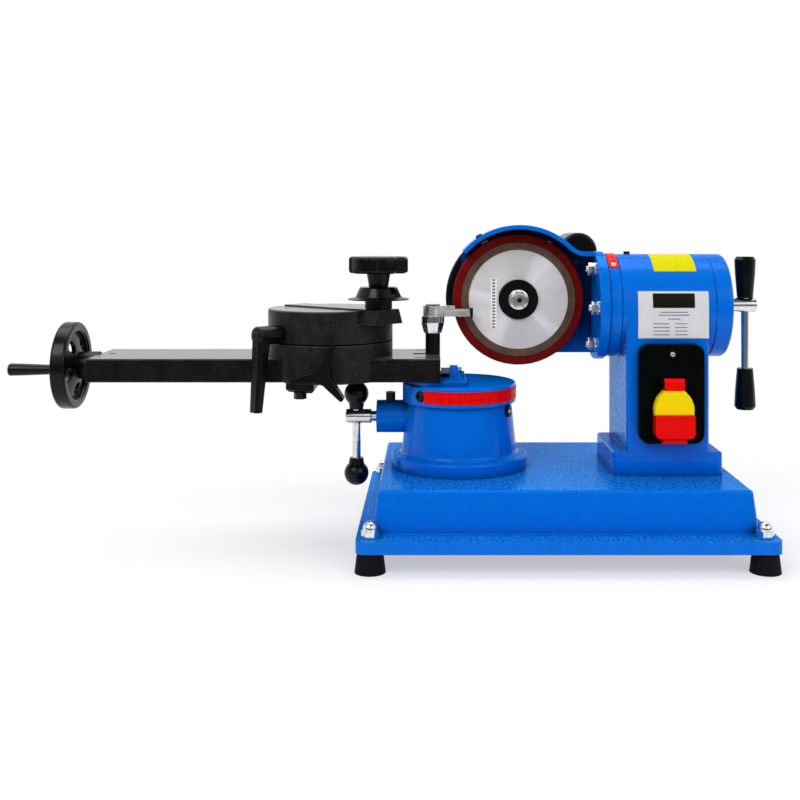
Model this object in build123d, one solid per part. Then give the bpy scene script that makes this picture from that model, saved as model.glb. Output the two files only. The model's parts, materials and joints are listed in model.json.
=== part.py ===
"""Bench sharpener for circular saw blades, modelled as separate pieces, in millimetres.

X runs along the slide arm towards the column, Y runs away from the operator and Z runs up.
While pieces are modelled, x = 0 and y = 0 are the turret axis and z = 0 is the bench top.
"""

import math
import os

from build123d import *

# Fits
RUN = 0.05  # radial play of a turning or sliding fit
FACE = 0.1  # play between flat faces that move past each other
LOOSE = 0.5  # room round things that must not touch
SEAT = 0.05  # play of a fixed shank in its hole
HUB_EDGE = 0.8  # chamfer of the cross-drilled hubs
PAST = 1.0  # how far cutters and joined shapes run past a face
NEAR = 0.01  # how close to a level an edge counts as lying on it
HALF_TURN = 180.0  # degrees

# Feet and base casting
FOOT_H = 18.0
FOOT_R = 13.2
FOOT_TOP_R = 11.0
FOOT_BOLT_R = 4.0
FOOT_BOLT_HEAD_R = 6.5
FOOT_BOLT_HEAD_H = 5.0
FOOT_RECESS_H = 8.0
FOOT_EDGE_X = 12.0  # foot centre in from the flange's edge
FOOT_EDGE_Y = 13.5
ACORN_AF = 13.0
ACORN_HEX_H = 6.5
ACORN_H = 14.0
ACORN_LEDGE = 0.3  # flats stand out from the dome
FLANGE_W = 264.0
FLANGE_T = 10.5
FLANGE_CORNER = 8.0
LEDGE_X = 12.5  # flange stands out from the body's ends
NUT_ROOM = 8.5  # acorn nut's middle from the body's sides
BODY_H = 36.0
BODY_CORNER = 8.0
BODY_DRAFT_ANGLE = 8.0
BODY_COVE = 1.5
BODY_EDGE = 3.0
BASE_WALL = 4.5  # at the body's top edge
BASE_DECK = 7.0
PED_END_GAP = 25.5  # pedestal's flange from the base's end
COL_END_GAP = 28.0  # column's foot from the base's end

# Turret pedestal
PED_FLANGE_R = 64.0
PED_FLANGE_T = 12.0
PED_FLANGE_EDGE = 2.0
PED_COVE = 5.0
PED_CONE_R = 54.5
PED_TOP_R = 49.5
PED_H = 61.0
PED_NUT_POCKET_R = 23.0
PED_NUT_POCKET_H = 19.0
PED_BOLT_RING_R = 57.0
PED_BOLT_ANGLES = (30.0, 150.0, 270.0)
BOSS_R = 15.3
BOSS_REACH = 78.0
BOSS_Z = 45.5  # above the foot of the pedestal
BOSS_SCREW_X = -65.0
BOSS_SCREW_R = 4.5
BOSS_SCREW_OUT = 8.0
BOSS_SCREW_CLEAR = 2.0  # from the lock screw
BOSS_SOCKET_AF = 4.5
BOSS_SOCKET_D = 4.0
POINTER_ANGLE = -29.0  # round the pedestal from +X
POINTER_Z = 54.0
POINTER_R = 4.5
POINTER_IN = 9.0
POINTER_SUNK = 0.6
POINTER_OUT = 3.0

# Bolts that hold the castings
CAST_BOLT_R = 4.0
CAST_BOLT_HEAD_R = 6.5
CAST_BOLT_HEAD_H = 7.0
CAST_BOLT_GRIP = 9.0

# Turntable
TABLE_R = 53.5
TABLE_T = 18.0
TABLE_EDGE = 2.0
SPIGOT_R = 16.0
SPIGOT_L = 32.0
STUB_R = 5.0
TURRET_WASHER_R = 18.0
TURRET_WASHER_T = 3.0
TURRET_NUT_AF = 17.0
TURRET_NUT_H = 8.0
PAD_H = 4.0
PAD_W = 80.0
PAD_PAST_LUG = 4.0
LUG_T = 11.0
LUG_W = 20.0
LUG_H = 14.0
LUG_X = -9.0
LUG_TOP_T = 7.7
LUG_TOP_W = 12.0
SCALE_FROM_ANGLE = -128.0
SCALE_TO_ANGLE = 0.0
SCALE_H = 11.5
SCALE_T = 0.6
SCALE_UP = 3.0

# Slide arm
ARM_L = 323.5
ARM_END = -18.0
ARM_W = 85.0
ARM_T = 21.5
ARM_EDGE = 1.0
GROOVE_W = 22.0
GROOVE_H = 16.5
GROOVE_END_WALL = 12.0
GROOVE_INNER_WALL = 42.0
SCREW_BLIND = 8.0
OIL_HOLE_R = 3.0
OIL_HOLE_IN = 12.0
OIL_HOLE_D = 4.5
POST_SLOT_W = 9.0
POST_SLOT_L = 26.0
KERF_W = 4.0
KERF_L = 24.0
KERF_D = 10.75
KERF_IN = 11.5  # kerf's middle from the arm's side
ARM_BOLT_R = 4.0
ARM_BOLT_HEAD_R = 6.5
ARM_BOLT_HEAD_H = 8.0
ARM_BOLT_X = -31.0
ARM_BOLT_Y = 20.0
ARM_BOLT_GRIP = 9.0
ARM_BOLT_SUNK = 1.0
STOP_BOLT_AF = 10.0
STOP_BOLT_HEAD = 8.0
STOP_BOLT_R = 2.5
STOP_BOLT_UP = 6.2  # above the arm's underside
STOP_BOLT_OUT = 0.5

# Turret lock handle
LOCK_SHAFT_R = 5.0
LOCK_HUB_R = 6.9
LOCK_HUB_L = 24.5
LOCK_HUB_GAP = 5.0
LOCK_BAR_R = 4.0
LOCK_BAR_FROM_END = 10.0
LOCK_BAR_SPAN = 75.5  # between the middles of the ball knobs
KNOB_R = 11.5
KNOB_NECK_R = 6.5
KNOB_NECK_L = 14.5  # from the ball's middle to the end of its neck
KNOB_BAR_DEPTH = 5.0
KNOB_FLARE = 1.0  # neck wider where it meets the ball
KNOB_NECK_TOP = 8.0  # neck's end inside the ball, from its middle

# Lead screw and handwheel
LEAD_R = 5.0
WHEEL_GAP = 20.0  # handwheel from the arm's end
HAND_R = 41.0
HAND_RIM_W = 14.0
HAND_RIM_T = 9.0
HAND_RIM_EDGE = 2.6
HAND_WEB_T = 4.0
HAND_HUB_R = 13.0
HAND_HUB_OUT = 3.0
HAND_DISH = 6.0
HAND_WINDOWS = 5
HAND_WINDOW_R = 6.2
HAND_WINDOW_AT = 22.0
CRANK_AT = 33.5
CRANK_PIN_R = 3.0
CRANK_L = 38.5
CRANK_R = 5.3
CRANK_NECK_R = 4.4
CRANK_BELLY_AT = 22.0
CRANK_SHOULDER_AT = 37.3
CRANK_SHOULDER_R = 5.7
CRANK_END_R = 4.9
CRANK_CAP_T = 3.0
CRANK_PIN_BLIND = 2.0  # rim left in front of the pin
CRANK_PIN_SHORT = 4.0  # pin ends before the grip

# Carriage
CAR_GAP = 9.7  # carriage at rest from the turntable
CAR_WALL = 16.3  # carriage outside the arm
CAR_H = 35.0
CAR_EDGE = 1.0
PIVOT_R = 14.0
KEEPER_X = -23.0  # from the carriage's middle
KEEPER_W = 27.0
KEEPER_T = 8.0
KEEPER_EDGE = 2.5
KEEPER_BOLT_R = 3.0
KEEPER_BOLT_AF = 10.0
KEEPER_BOLT_HEAD = 5.5
KEEPER_BOLT_GRIP = 10.0
NUT_L = 20.0
NUT_TOP_GAP = 1.0
NUT_BOLT_CLEAR = 1.5  # middle keeper bolt from the lead screw
TRI_POINT_R = 28.0
TRI_HUB_R = 7.5
TRI_ROOT_W = 11.0
TRI_TIP_W = 4.0
TRI_HOLLOW_R = 6.0  # hollow between two arms
TRI_TURN_ANGLE = 70.0
TRI_STEP_ANGLE = 120.0
TRI_T = 13.0
TRI_TIP_R = 1.8
TRI_NECK_R = 7.0
TRI_NECK_L = 9.0
TRI_SCREW_R = 4.0
TRI_SCREW_CLEAR = 1.5  # screw's end from the arm

# Blade seat
DISC_H = 30.4
DISC_EDGE = 1.0
DOVE_ANGLE = -40.0
DOVE_TOP_W = 28.0
DOVE_LOW_W = 37.0
DOVE_DEPTH = 12.0
DOVE_PROUD = 1.5
DISC_FLAT_IN = 3.8  # flat at the groove's mouth, in from the rim
BAR_REAR_IN = 8.8  # bar's rear end inside the disc
BAR_OUT = 16.2  # bar's front end outside the disc
STUD_OUT = 3.2  # stud's middle outside the disc
STUD_R = 6.0
STUD_HUB_R = 12.4
STUD_HUB_H = 8.5
STUD_HUB_EDGE = 1.0
STUD_ROOT = 8.0
STUD_TOP = 38.0  # above the bar
CONE_BRIM_R = 27.9
CONE_BRIM_T = 2.5
CONE_BRIM_EDGE = 0.9
CONE_BASE_R = 21.0
CONE_TOP_R = 16.5
CONE_H = 11.4
CONE_NOTCH_W = 6.0
CONE_NOTCH_H = 6.0
CONE_NOTCH_IN = 2.0  # notch ends this far from the knob's neck
CONE_TOP_EDGE = 0.9
STAR_NECK_R = 8.8
STAR_NECK_TOP_R = 11.0
STAR_NECK_H = 12.5
STAR_R = 27.0
STAR_H = 15.3
STAR_LOBES = 6
STAR_SCALLOP_R = 9.0
STAR_SCALLOP_AT = 32.5
STAR_EDGE = 3.0
STAR_BORE_H = 22.0
LEVER_ANGLE = 225.0
LEVER_UP = 9.0  # hub's middle above the disc's underside
LEVER_HUB_R = 8.5
LEVER_HUB_L = 27.0
LEVER_HUB_EDGE = 2.5
LEVER_COLLAR_R = 6.8
LEVER_COLLAR_L = 2.0
LEVER_GAP = 0.6
LEVER_STUD_R = 4.0
LEVER_STUD_IN = 16.0
LEVER_DROP = 68.0
LEVER_LEAN = 6.0
LEVER_TOP_W = 15.0
LEVER_TOP_T = 13.0
LEVER_TOP_CORNER = 4.0
LEVER_TIP_W = 12.0
LEVER_TIP_T = 8.0
LEVER_TIP_CORNER = 3.0

# Tooth stop
POST_R = 7.0
POST_X = -25.0
POST_H = 47.0
POST_TENON_END = 2.0  # tenon above the arm's underside
CLAMP_UP = 20.0
CLAMP_R = 11.0
CLAMP_LOW_R = 8.4
CLAMP_CONE_H = 10.0
CLAMP_RING_H = 6.0
FINGER_H = 10.0
FINGER_HEAD_R = 9.5
FINGER_W = 7.0
FINGER_FRONT = -8.5
FINGER_REACH = 35.0
FINGER_ARM_H = 7.0
FINGER_STEP_AT = 21.0
FINGER_SLOT_W = 1.6
FINGER_SLOT_D = 1.2
TIP_L = 3.0
TIP_H = 9.0

# Column, barrel and cap
COL_FRONT_LIP = 3.2  # barrel stands out from the column's faces
COL_REAR_LIP = 6.8
COL_CORNER = 4.0
COL_SPREAD_X = 12.0  # foot stands out from the column
COL_FOOT_H = 21.0
COL_FOOT_CORNER = 4.0
COL_FOOT_EDGE = 2.0
COL_WALL = 14.0
COL_CAVITY_H = 80.0
COL_BOLT_IN = 9.5  # bolts from the foot's edges
AXIS_Z = 215.5  # barrel axis above the bench
BARREL_R = 48.5
BARREL_L = 85.0
BARREL_BACK = 6.0
BARREL_EDGE = 0.8
KEY_SCREW_X = 12.0
KEY_SCREW_R = 3.0
KEY_SCREW_OUT = 2.5
KEY_SCREW_CLEAR = 2.0  # from the quill
CAP_T = 16.0
CAP_EDGE = 3.5
CAP_BOLT_RING_R = 38.0
CAP_BOLT_ANGLES = (45.0, 135.0, 225.0, 315.0)
CAP_BOLT_R = 2.5
CAP_BOLT_HEAD_R = 4.5
CAP_BOLT_HEAD_H = 5.0
CAP_SOCKET_AF = 4.0
CAP_SOCKET_D = 2.5

# Quill, head bracket and motor
QUILL_R = 36.0
QUILL_ROOM = 3.0  # behind the quill's rear end
RING_R = 48.5
RING_T = 10.9
RING_EDGE = 0.8
TILT_FROM_ANGLE = 138.0  # round the ring from its underside
TILT_TO_ANGLE = 222.0
TILT_T = 0.6
TILT_EDGE = 1.0
PIVOT_STUB_R = 20.0
PIVOT_STUB_L = 14.0
TEE_GROOVE_D = 8.0
HEAD_BOLT_RING_R = 40.0
HEAD_BOLT_ANGLES = (120.0, 180.0, 240.0)
HEAD_BOLT_R = 4.0
HEAD_BOLT_AF = 13.0
HEAD_BOLT_HEAD = 6.0
HEAD_BOLT_IN = 5.0
HEAD_FLANGE_R = 51.0
HEAD_FLANGE_T = 9.3
HEAD_FLANGE_EDGE = 1.0
WHEEL_X = 56.8
WHEEL_Z = 220.4
WHEEL_ROOM = 7.6  # wheel's edge from the flange
GUARD_R = 71.0
GUARD_T = 4.0
GUARD_TO_ANGLE = 139.0
GUARD_SWEEP_R = 20.0  # hollow curve from the guard into the roof
ROOF_UP = 45.6  # roof above the wheel's axis
GUARD_FRONT = -14.0
WEB_Y = 22.0
WEB_T = 7.0
WEB_LOW = 168.0
WEB_R = 58.0  # web below the guard, hidden by the wheel
WEB_HOLE_R = 24.0
SHIELD_R = 69.0
SHIELD_LOW_R = 60.0
SHIELD_STEP = 8.0  # wider part ends this far below the axis
SHIELD_T = 8.0
SHIELD_EDGE = 1.5
SHIELD_BOLT_RING_R = 58.0
SHIELD_BOLT_ANGLES = (0.0, 60.0, 120.0)
SHIELD_BOLT_R = 3.0
SHIELD_BOLT_AF = 10.0
SHIELD_BOLT_HEAD = 4.0
MOTOR_R = 58.0
MOTOR_L = 122.0
MOTOR_EDGE = 8.0
MOTOR_RIBS = 18
MOTOR_RIB_W = 5.0
MOTOR_RIB_D = 2.5
MOTOR_RIB_FROM = 18.0
MOTOR_RIB_L = 78.0
CAP_CAN_R = 19.0
CAP_CAN_L = 72.0
CAP_CAN_ANGLE = 34.0
CAP_CAN_GAP = 3.5
CAP_CAN_FROM = 33.0
CAP_CAN_EDGE = 3.0
SADDLE_W = 14.0
SADDLE_L = 40.0
SADDLE_SUNK = 2.0  # saddle's corners reach below the shell's crown

# Grinding wheel and spindle
WHEEL_Y = 6.0
WHEEL_R = 62.5
WHEEL_T = 10.0
RIM_IN_R = 54.5
CORE_R = 47.5
GRIT_PROUD = 0.8
WHEEL_EDGE = 0.8
NOSE_R = 16.0
NOSE_FLANGE_R = 22.0
NOSE_FLANGE_T = 4.0
SHAFT_R = 8.0
SHAFT_IN = 30.0
THREAD_R = 5.0
THREAD_OUT = 15.0
WASHER_R = 19.0
WASHER_T = 3.0
WASHER_EDGE = 1.0
NUT_WASHER_R = 9.5
NUT_WASHER_T = 1.5
NUT_AF = 14.0
NUT_H = 8.0

# Feed handle of the quill
FEED_R = 5.0
FEED_HUB_R = 6.9
FEED_HUB_L = 33.5
FEED_IN = 66.0
FEED_BAR_R = 3.8
FEED_BAR_FROM_END = 10.0
GRIP_L = 39.0
GRIP_R = 9.9
GRIP_NECK_R = 7.4
FEED_BAR_FREE = 67.0  # bar showing between the grips
GRIP_DEPTH = 24.0
GRIP_BELLY_R = 9.2
GRIP_BELLY_AT = 21.5
GRIP_END_R = 7.9
GRIP_END_L = 3.0

# Switch
SW_ASIDE = 2.0  # switch from the column's middle
SW_Z = 139.0
SW_W = 58.5
SW_H = 89.0
SW_T = 8.0
SW_CORNER = 9.0
SW_EDGE = 1.5
SW_SCREW_UP = 36.0
SW_SCREW_R = 3.2
SW_SCREW_OUT = 1.2
SW_SCREW_SUNK = 1.5
SW_SCREW_IN = 6.0
HINGE_UP = 11.0  # hinge axis above the plate's middle
HINGE_OUT = 5.5  # hinge axis in front of the plate
HINGE_W = 18.0
HINGE_R = 4.0
PIN_R = 2.0
HINGE_LUG_T = 3.0
FLAP_W = 35.0
FLAP_DROP = 53.5
FLAP_TOP = 6.5  # flap starts this far below the hinge axis
FLAP_T = 9.0
FLAP_GAP = 0.6
FLAP_CORNER = 8.4
PAD_SHARE_H = 25.0
PAD_OUT = 3.0
PAD_TAB_W = 22.0
PAD_TAB_H = 5.0
PAD_CORNER = 4.0
BUTTON_R = 7.0
BUTTON_OUT = 3.0
BUTTON_DEPTH = 6.0
BUTTON_POCKET = 1.5
START_DOWN = 6.5  # start button below the plate's middle
STOP_DOWN = 27.0
BUTTON_EDGE = 0.6
BUTTON_ROOM = 1.0  # room round a button inside the flap
FLAP_HOLLOW = 5.0
FLAP_RIM = 2.0

# Levels and places that follow from the sizes above
FLANGE_X = WHEEL_X + WHEEL_R + WHEEL_ROOM + HEAD_FLANGE_T
RING_X = FLANGE_X + FACE + RING_T
BARREL_X = RING_X + FACE
COL_L = BARREL_L - COL_FRONT_LIP - COL_REAR_LIP
COL_X = BARREL_X + COL_FRONT_LIP + COL_L / 2
COL_FOOT_L = COL_L + 2 * COL_SPREAD_X
COL_FOOT_W = 2 * BARREL_R
QUILL_L = BARREL_L - BARREL_BACK - QUILL_ROOM
COL_BOLT_X = COL_FOOT_L / 2 - COL_BOLT_IN
COL_BOLT_Y = COL_FOOT_W / 2 - COL_BOLT_IN
SW_X = COL_X + SW_ASIDE
BASE_LEFT = -PED_FLANGE_R - PED_END_GAP
BASE_RIGHT = COL_X + COL_FOOT_L / 2 + COL_END_GAP
BASE_X = (BASE_LEFT + BASE_RIGHT) / 2
FLANGE_L = BASE_RIGHT - BASE_LEFT
BODY_L = FLANGE_L - 2 * LEDGE_X
BODY_W = FLANGE_W - 2 * (FOOT_EDGE_Y + NUT_ROOM)
CAR_R = ARM_W / 2 + CAR_WALL
CAR_X = -TABLE_R - CAR_GAP - CAR_R
FLANGE_TOP = FOOT_H + FLANGE_T
BASE_TOP = FLANGE_TOP + BODY_H
PED_TOP = BASE_TOP + PED_H
TABLE_LOW = PED_TOP + FACE
TABLE_TOP = TABLE_LOW + TABLE_T
ARM_LOW = TABLE_TOP + PAD_H
ARM_TOP = ARM_LOW + ARM_T
ARM_START = ARM_END - ARM_L
LEAD_Z = ARM_LOW + ARM_T / 2
BOSS_AXIS = BASE_TOP + BOSS_Z
CAR_LOW = ARM_LOW - FACE
CAR_TOP = CAR_LOW + CAR_H
DISC_LOW = CAR_TOP + FACE
DISC_TOP = DISC_LOW + DISC_H
BAR_TOP = DISC_TOP + DOVE_PROUD
CONE_LOW = BAR_TOP + STUD_HUB_H + FACE
STAR_LOW = CONE_LOW + CONE_H + FACE
CLAMP_Z = ARM_TOP + CLAMP_UP
FINGER_Z = CLAMP_Z + CLAMP_CONE_H + CLAMP_RING_H
STUD_AT = CAR_R + STUD_OUT
CAP_X = BARREL_X + BARREL_L
CAP_END = CAP_X + CAP_T
SHIELD_Y = WEB_Y + WEB_T
MOTOR_Y = SHIELD_Y + SHIELD_T
COL_FRONT = -BARREL_R
SW_FRONT = COL_FRONT - SW_T
LOCK_HUB_X = -BOSS_REACH - LOCK_HUB_GAP
LOCK_BAR_X = LOCK_HUB_X - LOCK_HUB_L + LOCK_BAR_FROM_END
FEED_HUB_X = CAP_END + FACE
FEED_BAR_X = FEED_HUB_X + FEED_HUB_L - FEED_BAR_FROM_END
HAND_X = ARM_START - WHEEL_GAP


def rod(radius, x0, x1, y=0.0, z=0.0):
    """A cylinder along X between two places."""
    return Pos((x0 + x1) / 2, y, z) * Rot(0, 90, 0) * Cylinder(radius, abs(x1 - x0))


def rod_y(radius, y0, y1, x=0.0, z=0.0):
    """A cylinder along Y between two places."""
    return Pos(x, (y0 + y1) / 2, z) * Rot(90, 0, 0) * Cylinder(radius, abs(y1 - y0))


def post(radius, z0, z1, x=0.0, y=0.0):
    """A cylinder along Z between two levels."""
    return Pos(x, y, (z0 + z1) / 2) * Cylinder(radius, abs(z1 - z0))


def block(x0, x1, y0, y1, z0, z1):
    """A box between two corners."""
    middle = Pos((x0 + x1) / 2, (y0 + y1) / 2, (z0 + z1) / 2)
    return middle * Box(abs(x1 - x0), abs(y1 - y0), abs(z1 - z0))


def hexagon(across, height):
    """A hexagonal prism on z = 0, given its width across flats."""
    return extrude(RegularPolygon(across / math.sqrt(3), 6), height)


def turned(*points):
    """A solid of revolution about Z through (radius, level) points."""
    outline = make_face(Polyline(*[(r, 0, z) for r, z in points], close=True))
    return revolve(outline, Axis.Z)


def group(*pieces):
    """Several separate solids that share one node."""
    return Compound([solid for piece in pieces for solid in piece.solids()])


def ring_places(radius, angles):
    """Points on a circle, as (u, v) pairs."""
    for angle in angles:
        turn = math.radians(angle)
        yield radius * math.cos(turn), radius * math.sin(turn)


def edges_at(solid, level):
    """Edges that lie at one level."""
    return solid.edges().filter_by_position(Axis.Z, level - NEAR, level + NEAR)


def foot_places():
    """Centres of the four feet."""
    reach_x = FLANGE_L / 2 - FOOT_EDGE_X
    reach_y = FLANGE_W / 2 - FOOT_EDGE_Y
    return [(BASE_X + i * reach_x, j * reach_y) for i in (-1, 1) for j in (-1, 1)]


def casting_bolt_places():
    """Centres of the bolts that hold pedestal and column from below."""
    pedestal_bolts = list(ring_places(PED_BOLT_RING_R, PED_BOLT_ANGLES))
    column_bolts = [(COL_X + i * COL_BOLT_X, j * COL_BOLT_Y) for i in (-1, 1) for j in (-1, 1)]
    return pedestal_bolts, column_bolts


def hollow_halves():
    """Half the length and half the width of the hollow under the base."""
    inset = BODY_H * math.tan(math.radians(BODY_DRAFT_ANGLE)) + BASE_WALL
    return BODY_L / 2 - inset, BODY_W / 2 - inset


def base_casting():
    """Hollow base with a flange, a drafted body and a cove between them."""
    flange = extrude(RectangleRounded(FLANGE_L, FLANGE_W, FLANGE_CORNER), FLANGE_T)
    body = extrude(RectangleRounded(BODY_L, BODY_W, BODY_CORNER), BODY_H, taper=BODY_DRAFT_ANGLE)
    casting = flange + Pos(0, 0, FLANGE_T) * body
    cove = [
        edge
        for edge in edges_at(casting, FLANGE_T)
        if edge.bounding_box().max.X < BODY_L / 2 + NEAR
        and edge.bounding_box().min.X > -BODY_L / 2 - NEAR
        and edge.bounding_box().max.Y < BODY_W / 2 + NEAR
        and edge.bounding_box().min.Y > -BODY_W / 2 - NEAR
    ]
    casting = fillet(cove, BODY_COVE)
    casting = fillet(edges_at(casting, FLANGE_T + BODY_H), BODY_EDGE)
    inner_x, inner_y = hollow_halves()
    hollow = block(-inner_x, inner_x, -inner_y, inner_y, 0, FLANGE_T + BODY_H - BASE_DECK)
    casting = Pos(BASE_X, 0, FOOT_H) * (casting - hollow)
    for x, y in foot_places():
        casting -= post(FOOT_BOLT_R + SEAT, FOOT_H - PAST, FLANGE_TOP + PAST, x, y)
    for ring in casting_bolt_places():
        for x, y in ring:
            casting -= post(CAST_BOLT_R + SEAT, BASE_TOP - BASE_DECK - PAST, BASE_TOP + PAST, x, y)
    return casting


def rubber_feet():
    """Tapered rubber feet, wider at the bench, recessed for their bolts."""
    foot = turned((0, 0), (FOOT_R, 0), (FOOT_TOP_R, FOOT_H), (0, FOOT_H))
    foot -= post(FOOT_BOLT_HEAD_R + LOOSE, 0, FOOT_RECESS_H)
    foot -= post(FOOT_BOLT_R + SEAT, 0, FOOT_H)
    return group(*[Pos(x, y, 0) * foot for x, y in foot_places()])


def foot_bolts():
    """Bolts through the feet and the flange."""
    head = post(FOOT_BOLT_HEAD_R, FOOT_RECESS_H - FOOT_BOLT_HEAD_H, FOOT_RECESS_H)
    shank = post(FOOT_BOLT_R, FOOT_RECESS_H, FLANGE_TOP + ACORN_HEX_H)
    return group(*[Pos(x, y, 0) * (head + shank) for x, y in foot_places()])


def acorn_nuts():
    """Domed cap nuts on the flange's corners."""
    dome_r = ACORN_AF / 2 - ACORN_LEDGE
    dome = post(dome_r, 0, ACORN_H - dome_r) + Pos(0, 0, ACORN_H - dome_r) * Sphere(dome_r)
    dome -= block(-dome_r, dome_r, -dome_r, dome_r, -2 * dome_r, 0)
    nut = hexagon(ACORN_AF, ACORN_HEX_H) + dome
    nut -= post(FOOT_BOLT_R + SEAT, 0, ACORN_HEX_H + SEAT)
    return group(*[Pos(x, y, FLANGE_TOP) * nut for x, y in foot_places()])


def pedestal():
    """Turned pedestal with a foot flange, a taper and a side boss for the lock screw."""
    shape = turned(
        (0, 0),
        (PED_FLANGE_R, 0),
        (PED_FLANGE_R, PED_FLANGE_T),
        (PED_CONE_R, PED_FLANGE_T),
        (PED_TOP_R, PED_H),
        (0, PED_H),
    )
    corner = [e for e in edges_at(shape, PED_FLANGE_T) if e.bounding_box().size.X > 2 * PED_CONE_R + PAST]
    shape = fillet(corner, PED_FLANGE_EDGE)
    cove = [e for e in edges_at(shape, PED_FLANGE_T) if e.bounding_box().size.X < 2 * PED_CONE_R + PAST]
    shape = fillet(cove, PED_COVE)
    shape += rod(BOSS_R, -BOSS_REACH, 0, 0, BOSS_Z)
    shape -= post(SPIGOT_R + RUN, PED_H - SPIGOT_L - LOOSE, PED_H)
    shape -= post(STUB_R + LOOSE, 0, PED_H)
    shape -= post(PED_NUT_POCKET_R, 0, PED_NUT_POCKET_H)
    shape -= rod(LOCK_SHAFT_R + RUN, -BOSS_REACH, 0, 0, BOSS_Z)
    shape = Pos(0, 0, BASE_TOP) * shape
    for x, y in casting_bolt_places()[0]:
        shape -= post(CAST_BOLT_R + SEAT, BASE_TOP, BASE_TOP + CAST_BOLT_GRIP + SEAT, x, y)
    return shape - boss_screw(SEAT) - pointer_screw(SEAT)


def boss_screw(play=0.0):
    """Set screw on top of the lock boss."""
    low = BOSS_AXIS + LOCK_SHAFT_R + BOSS_SCREW_CLEAR
    high = BOSS_AXIS + BOSS_R + BOSS_SCREW_OUT
    screw = post(BOSS_SCREW_R + play, low - play, high, BOSS_SCREW_X)
    socket = hexagon(BOSS_SOCKET_AF, BOSS_SOCKET_D + play)
    return screw - Pos(BOSS_SCREW_X, 0, high - BOSS_SOCKET_D) * socket


def pointer_screw(play=0.0):
    """Button screw that marks the angle scale."""
    level = BASE_TOP + POINTER_Z
    slope = (PED_CONE_R - PED_TOP_R) / (PED_H - PED_FLANGE_T)
    skin = PED_TOP_R + slope * (PED_H - POINTER_Z)
    shank = rod(POINTER_R / 2 + play, skin - POINTER_IN - play, skin + PAST)
    head = rod(POINTER_R, skin - POINTER_SUNK - play, skin + POINTER_OUT)
    return Pos(0, 0, level) * Rot(0, 0, POINTER_ANGLE) * (shank + head)


def casting_bolts():
    """Cap screws from below into pedestal and column, and round the barrel's cap."""
    low = BASE_TOP - BASE_DECK
    head = post(CAST_BOLT_HEAD_R, low - CAST_BOLT_HEAD_H, low)
    bolt = head + post(CAST_BOLT_R, low, BASE_TOP + CAST_BOLT_GRIP)
    upright = [Pos(x, y, 0) * bolt for ring in casting_bolt_places() for x, y in ring]
    socket = Rot(0, 90, 0) * hexagon(CAP_SOCKET_AF, CAP_SOCKET_D)
    sockets = [Pos(CAP_END - CAP_SOCKET_D, y, z) * socket for y, z in cap_bolt_places()]
    level = [cap_bolt(y, z) - cut for (y, z), cut in zip(cap_bolt_places(), sockets)]
    return group(*upright, *level)


def cap_bolt_places():
    """Centres of the cap's screws, as (y, z)."""
    return [(y, AXIS_Z + z) for y, z in ring_places(CAP_BOLT_RING_R, CAP_BOLT_ANGLES)]


def cap_bolt(y, z, play=0.0):
    """One screw that holds the barrel's cap, its head sunk in the cap's face."""
    head = rod(CAP_BOLT_HEAD_R + play, CAP_END - CAP_BOLT_HEAD_H, CAP_END, y, z)
    return head + rod(CAP_BOLT_R + play, CAP_X - CAP_BOLT_HEAD_H - play, CAP_END - CAP_BOLT_HEAD_H, y, z)


def key_screw(play=0.0):
    """Screw on top of the barrel that keeps the quill from turning."""
    top = AXIS_Z + BARREL_R
    low = AXIS_Z + QUILL_R + KEY_SCREW_CLEAR
    return post(KEY_SCREW_R + play, low - play, top + KEY_SCREW_OUT, BARREL_X + KEY_SCREW_X)


def switch_screw(play=0.0):
    """Screw in the upper part of the switch plate."""
    level = SW_Z + SW_SCREW_UP
    head = rod_y(SW_SCREW_R + play, SW_FRONT - SW_SCREW_OUT, SW_FRONT + SW_SCREW_SUNK, SW_X, level)
    return head + rod_y(SW_SCREW_R / 2 + play, SW_FRONT, COL_FRONT + SW_SCREW_IN + play, SW_X, level)


def black_screws():
    """The small black screws of the fixed castings."""
    return group(boss_screw(), pointer_screw(), key_screw(), switch_screw())


def column():
    """Column on a spread foot, cast in one with the horizontal barrel."""
    foot = extrude(RectangleRounded(COL_FOOT_L, COL_FOOT_W, COL_FOOT_CORNER), COL_FOOT_H)
    foot = fillet(edges_at(foot, COL_FOOT_H), COL_FOOT_EDGE)
    foot = Pos(COL_X, 0, BASE_TOP) * foot
    height = AXIS_Z - BASE_TOP
    shaft = extrude(RectangleRounded(COL_L, 2 * BARREL_R, COL_CORNER), height)
    barrel = rod(BARREL_R, BARREL_X, CAP_X, 0, AXIS_Z)
    barrel = chamfer(barrel.edges().filter_by(GeomType.CIRCLE), BARREL_EDGE)
    casting = foot + Pos(COL_X, 0, BASE_TOP) * shaft + barrel
    cavity = RectangleRounded(COL_L - 2 * COL_WALL, 2 * BARREL_R - 2 * COL_WALL, COL_CORNER)
    casting -= Pos(COL_X, 0, BASE_TOP) * extrude(cavity, COL_CAVITY_H)
    casting -= rod(QUILL_R + RUN, BARREL_X, CAP_X - BARREL_BACK, 0, AXIS_Z)
    casting -= rod(FEED_R + LOOSE, BARREL_X, CAP_X, 0, AXIS_Z)
    for x, y in casting_bolt_places()[1]:
        casting -= post(CAST_BOLT_R + SEAT, BASE_TOP, BASE_TOP + CAST_BOLT_GRIP + SEAT, x, y)
    for y, z in cap_bolt_places():
        casting -= cap_bolt(y, z, SEAT)
    return casting - key_screw(SEAT) - switch_screw(SEAT)


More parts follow.
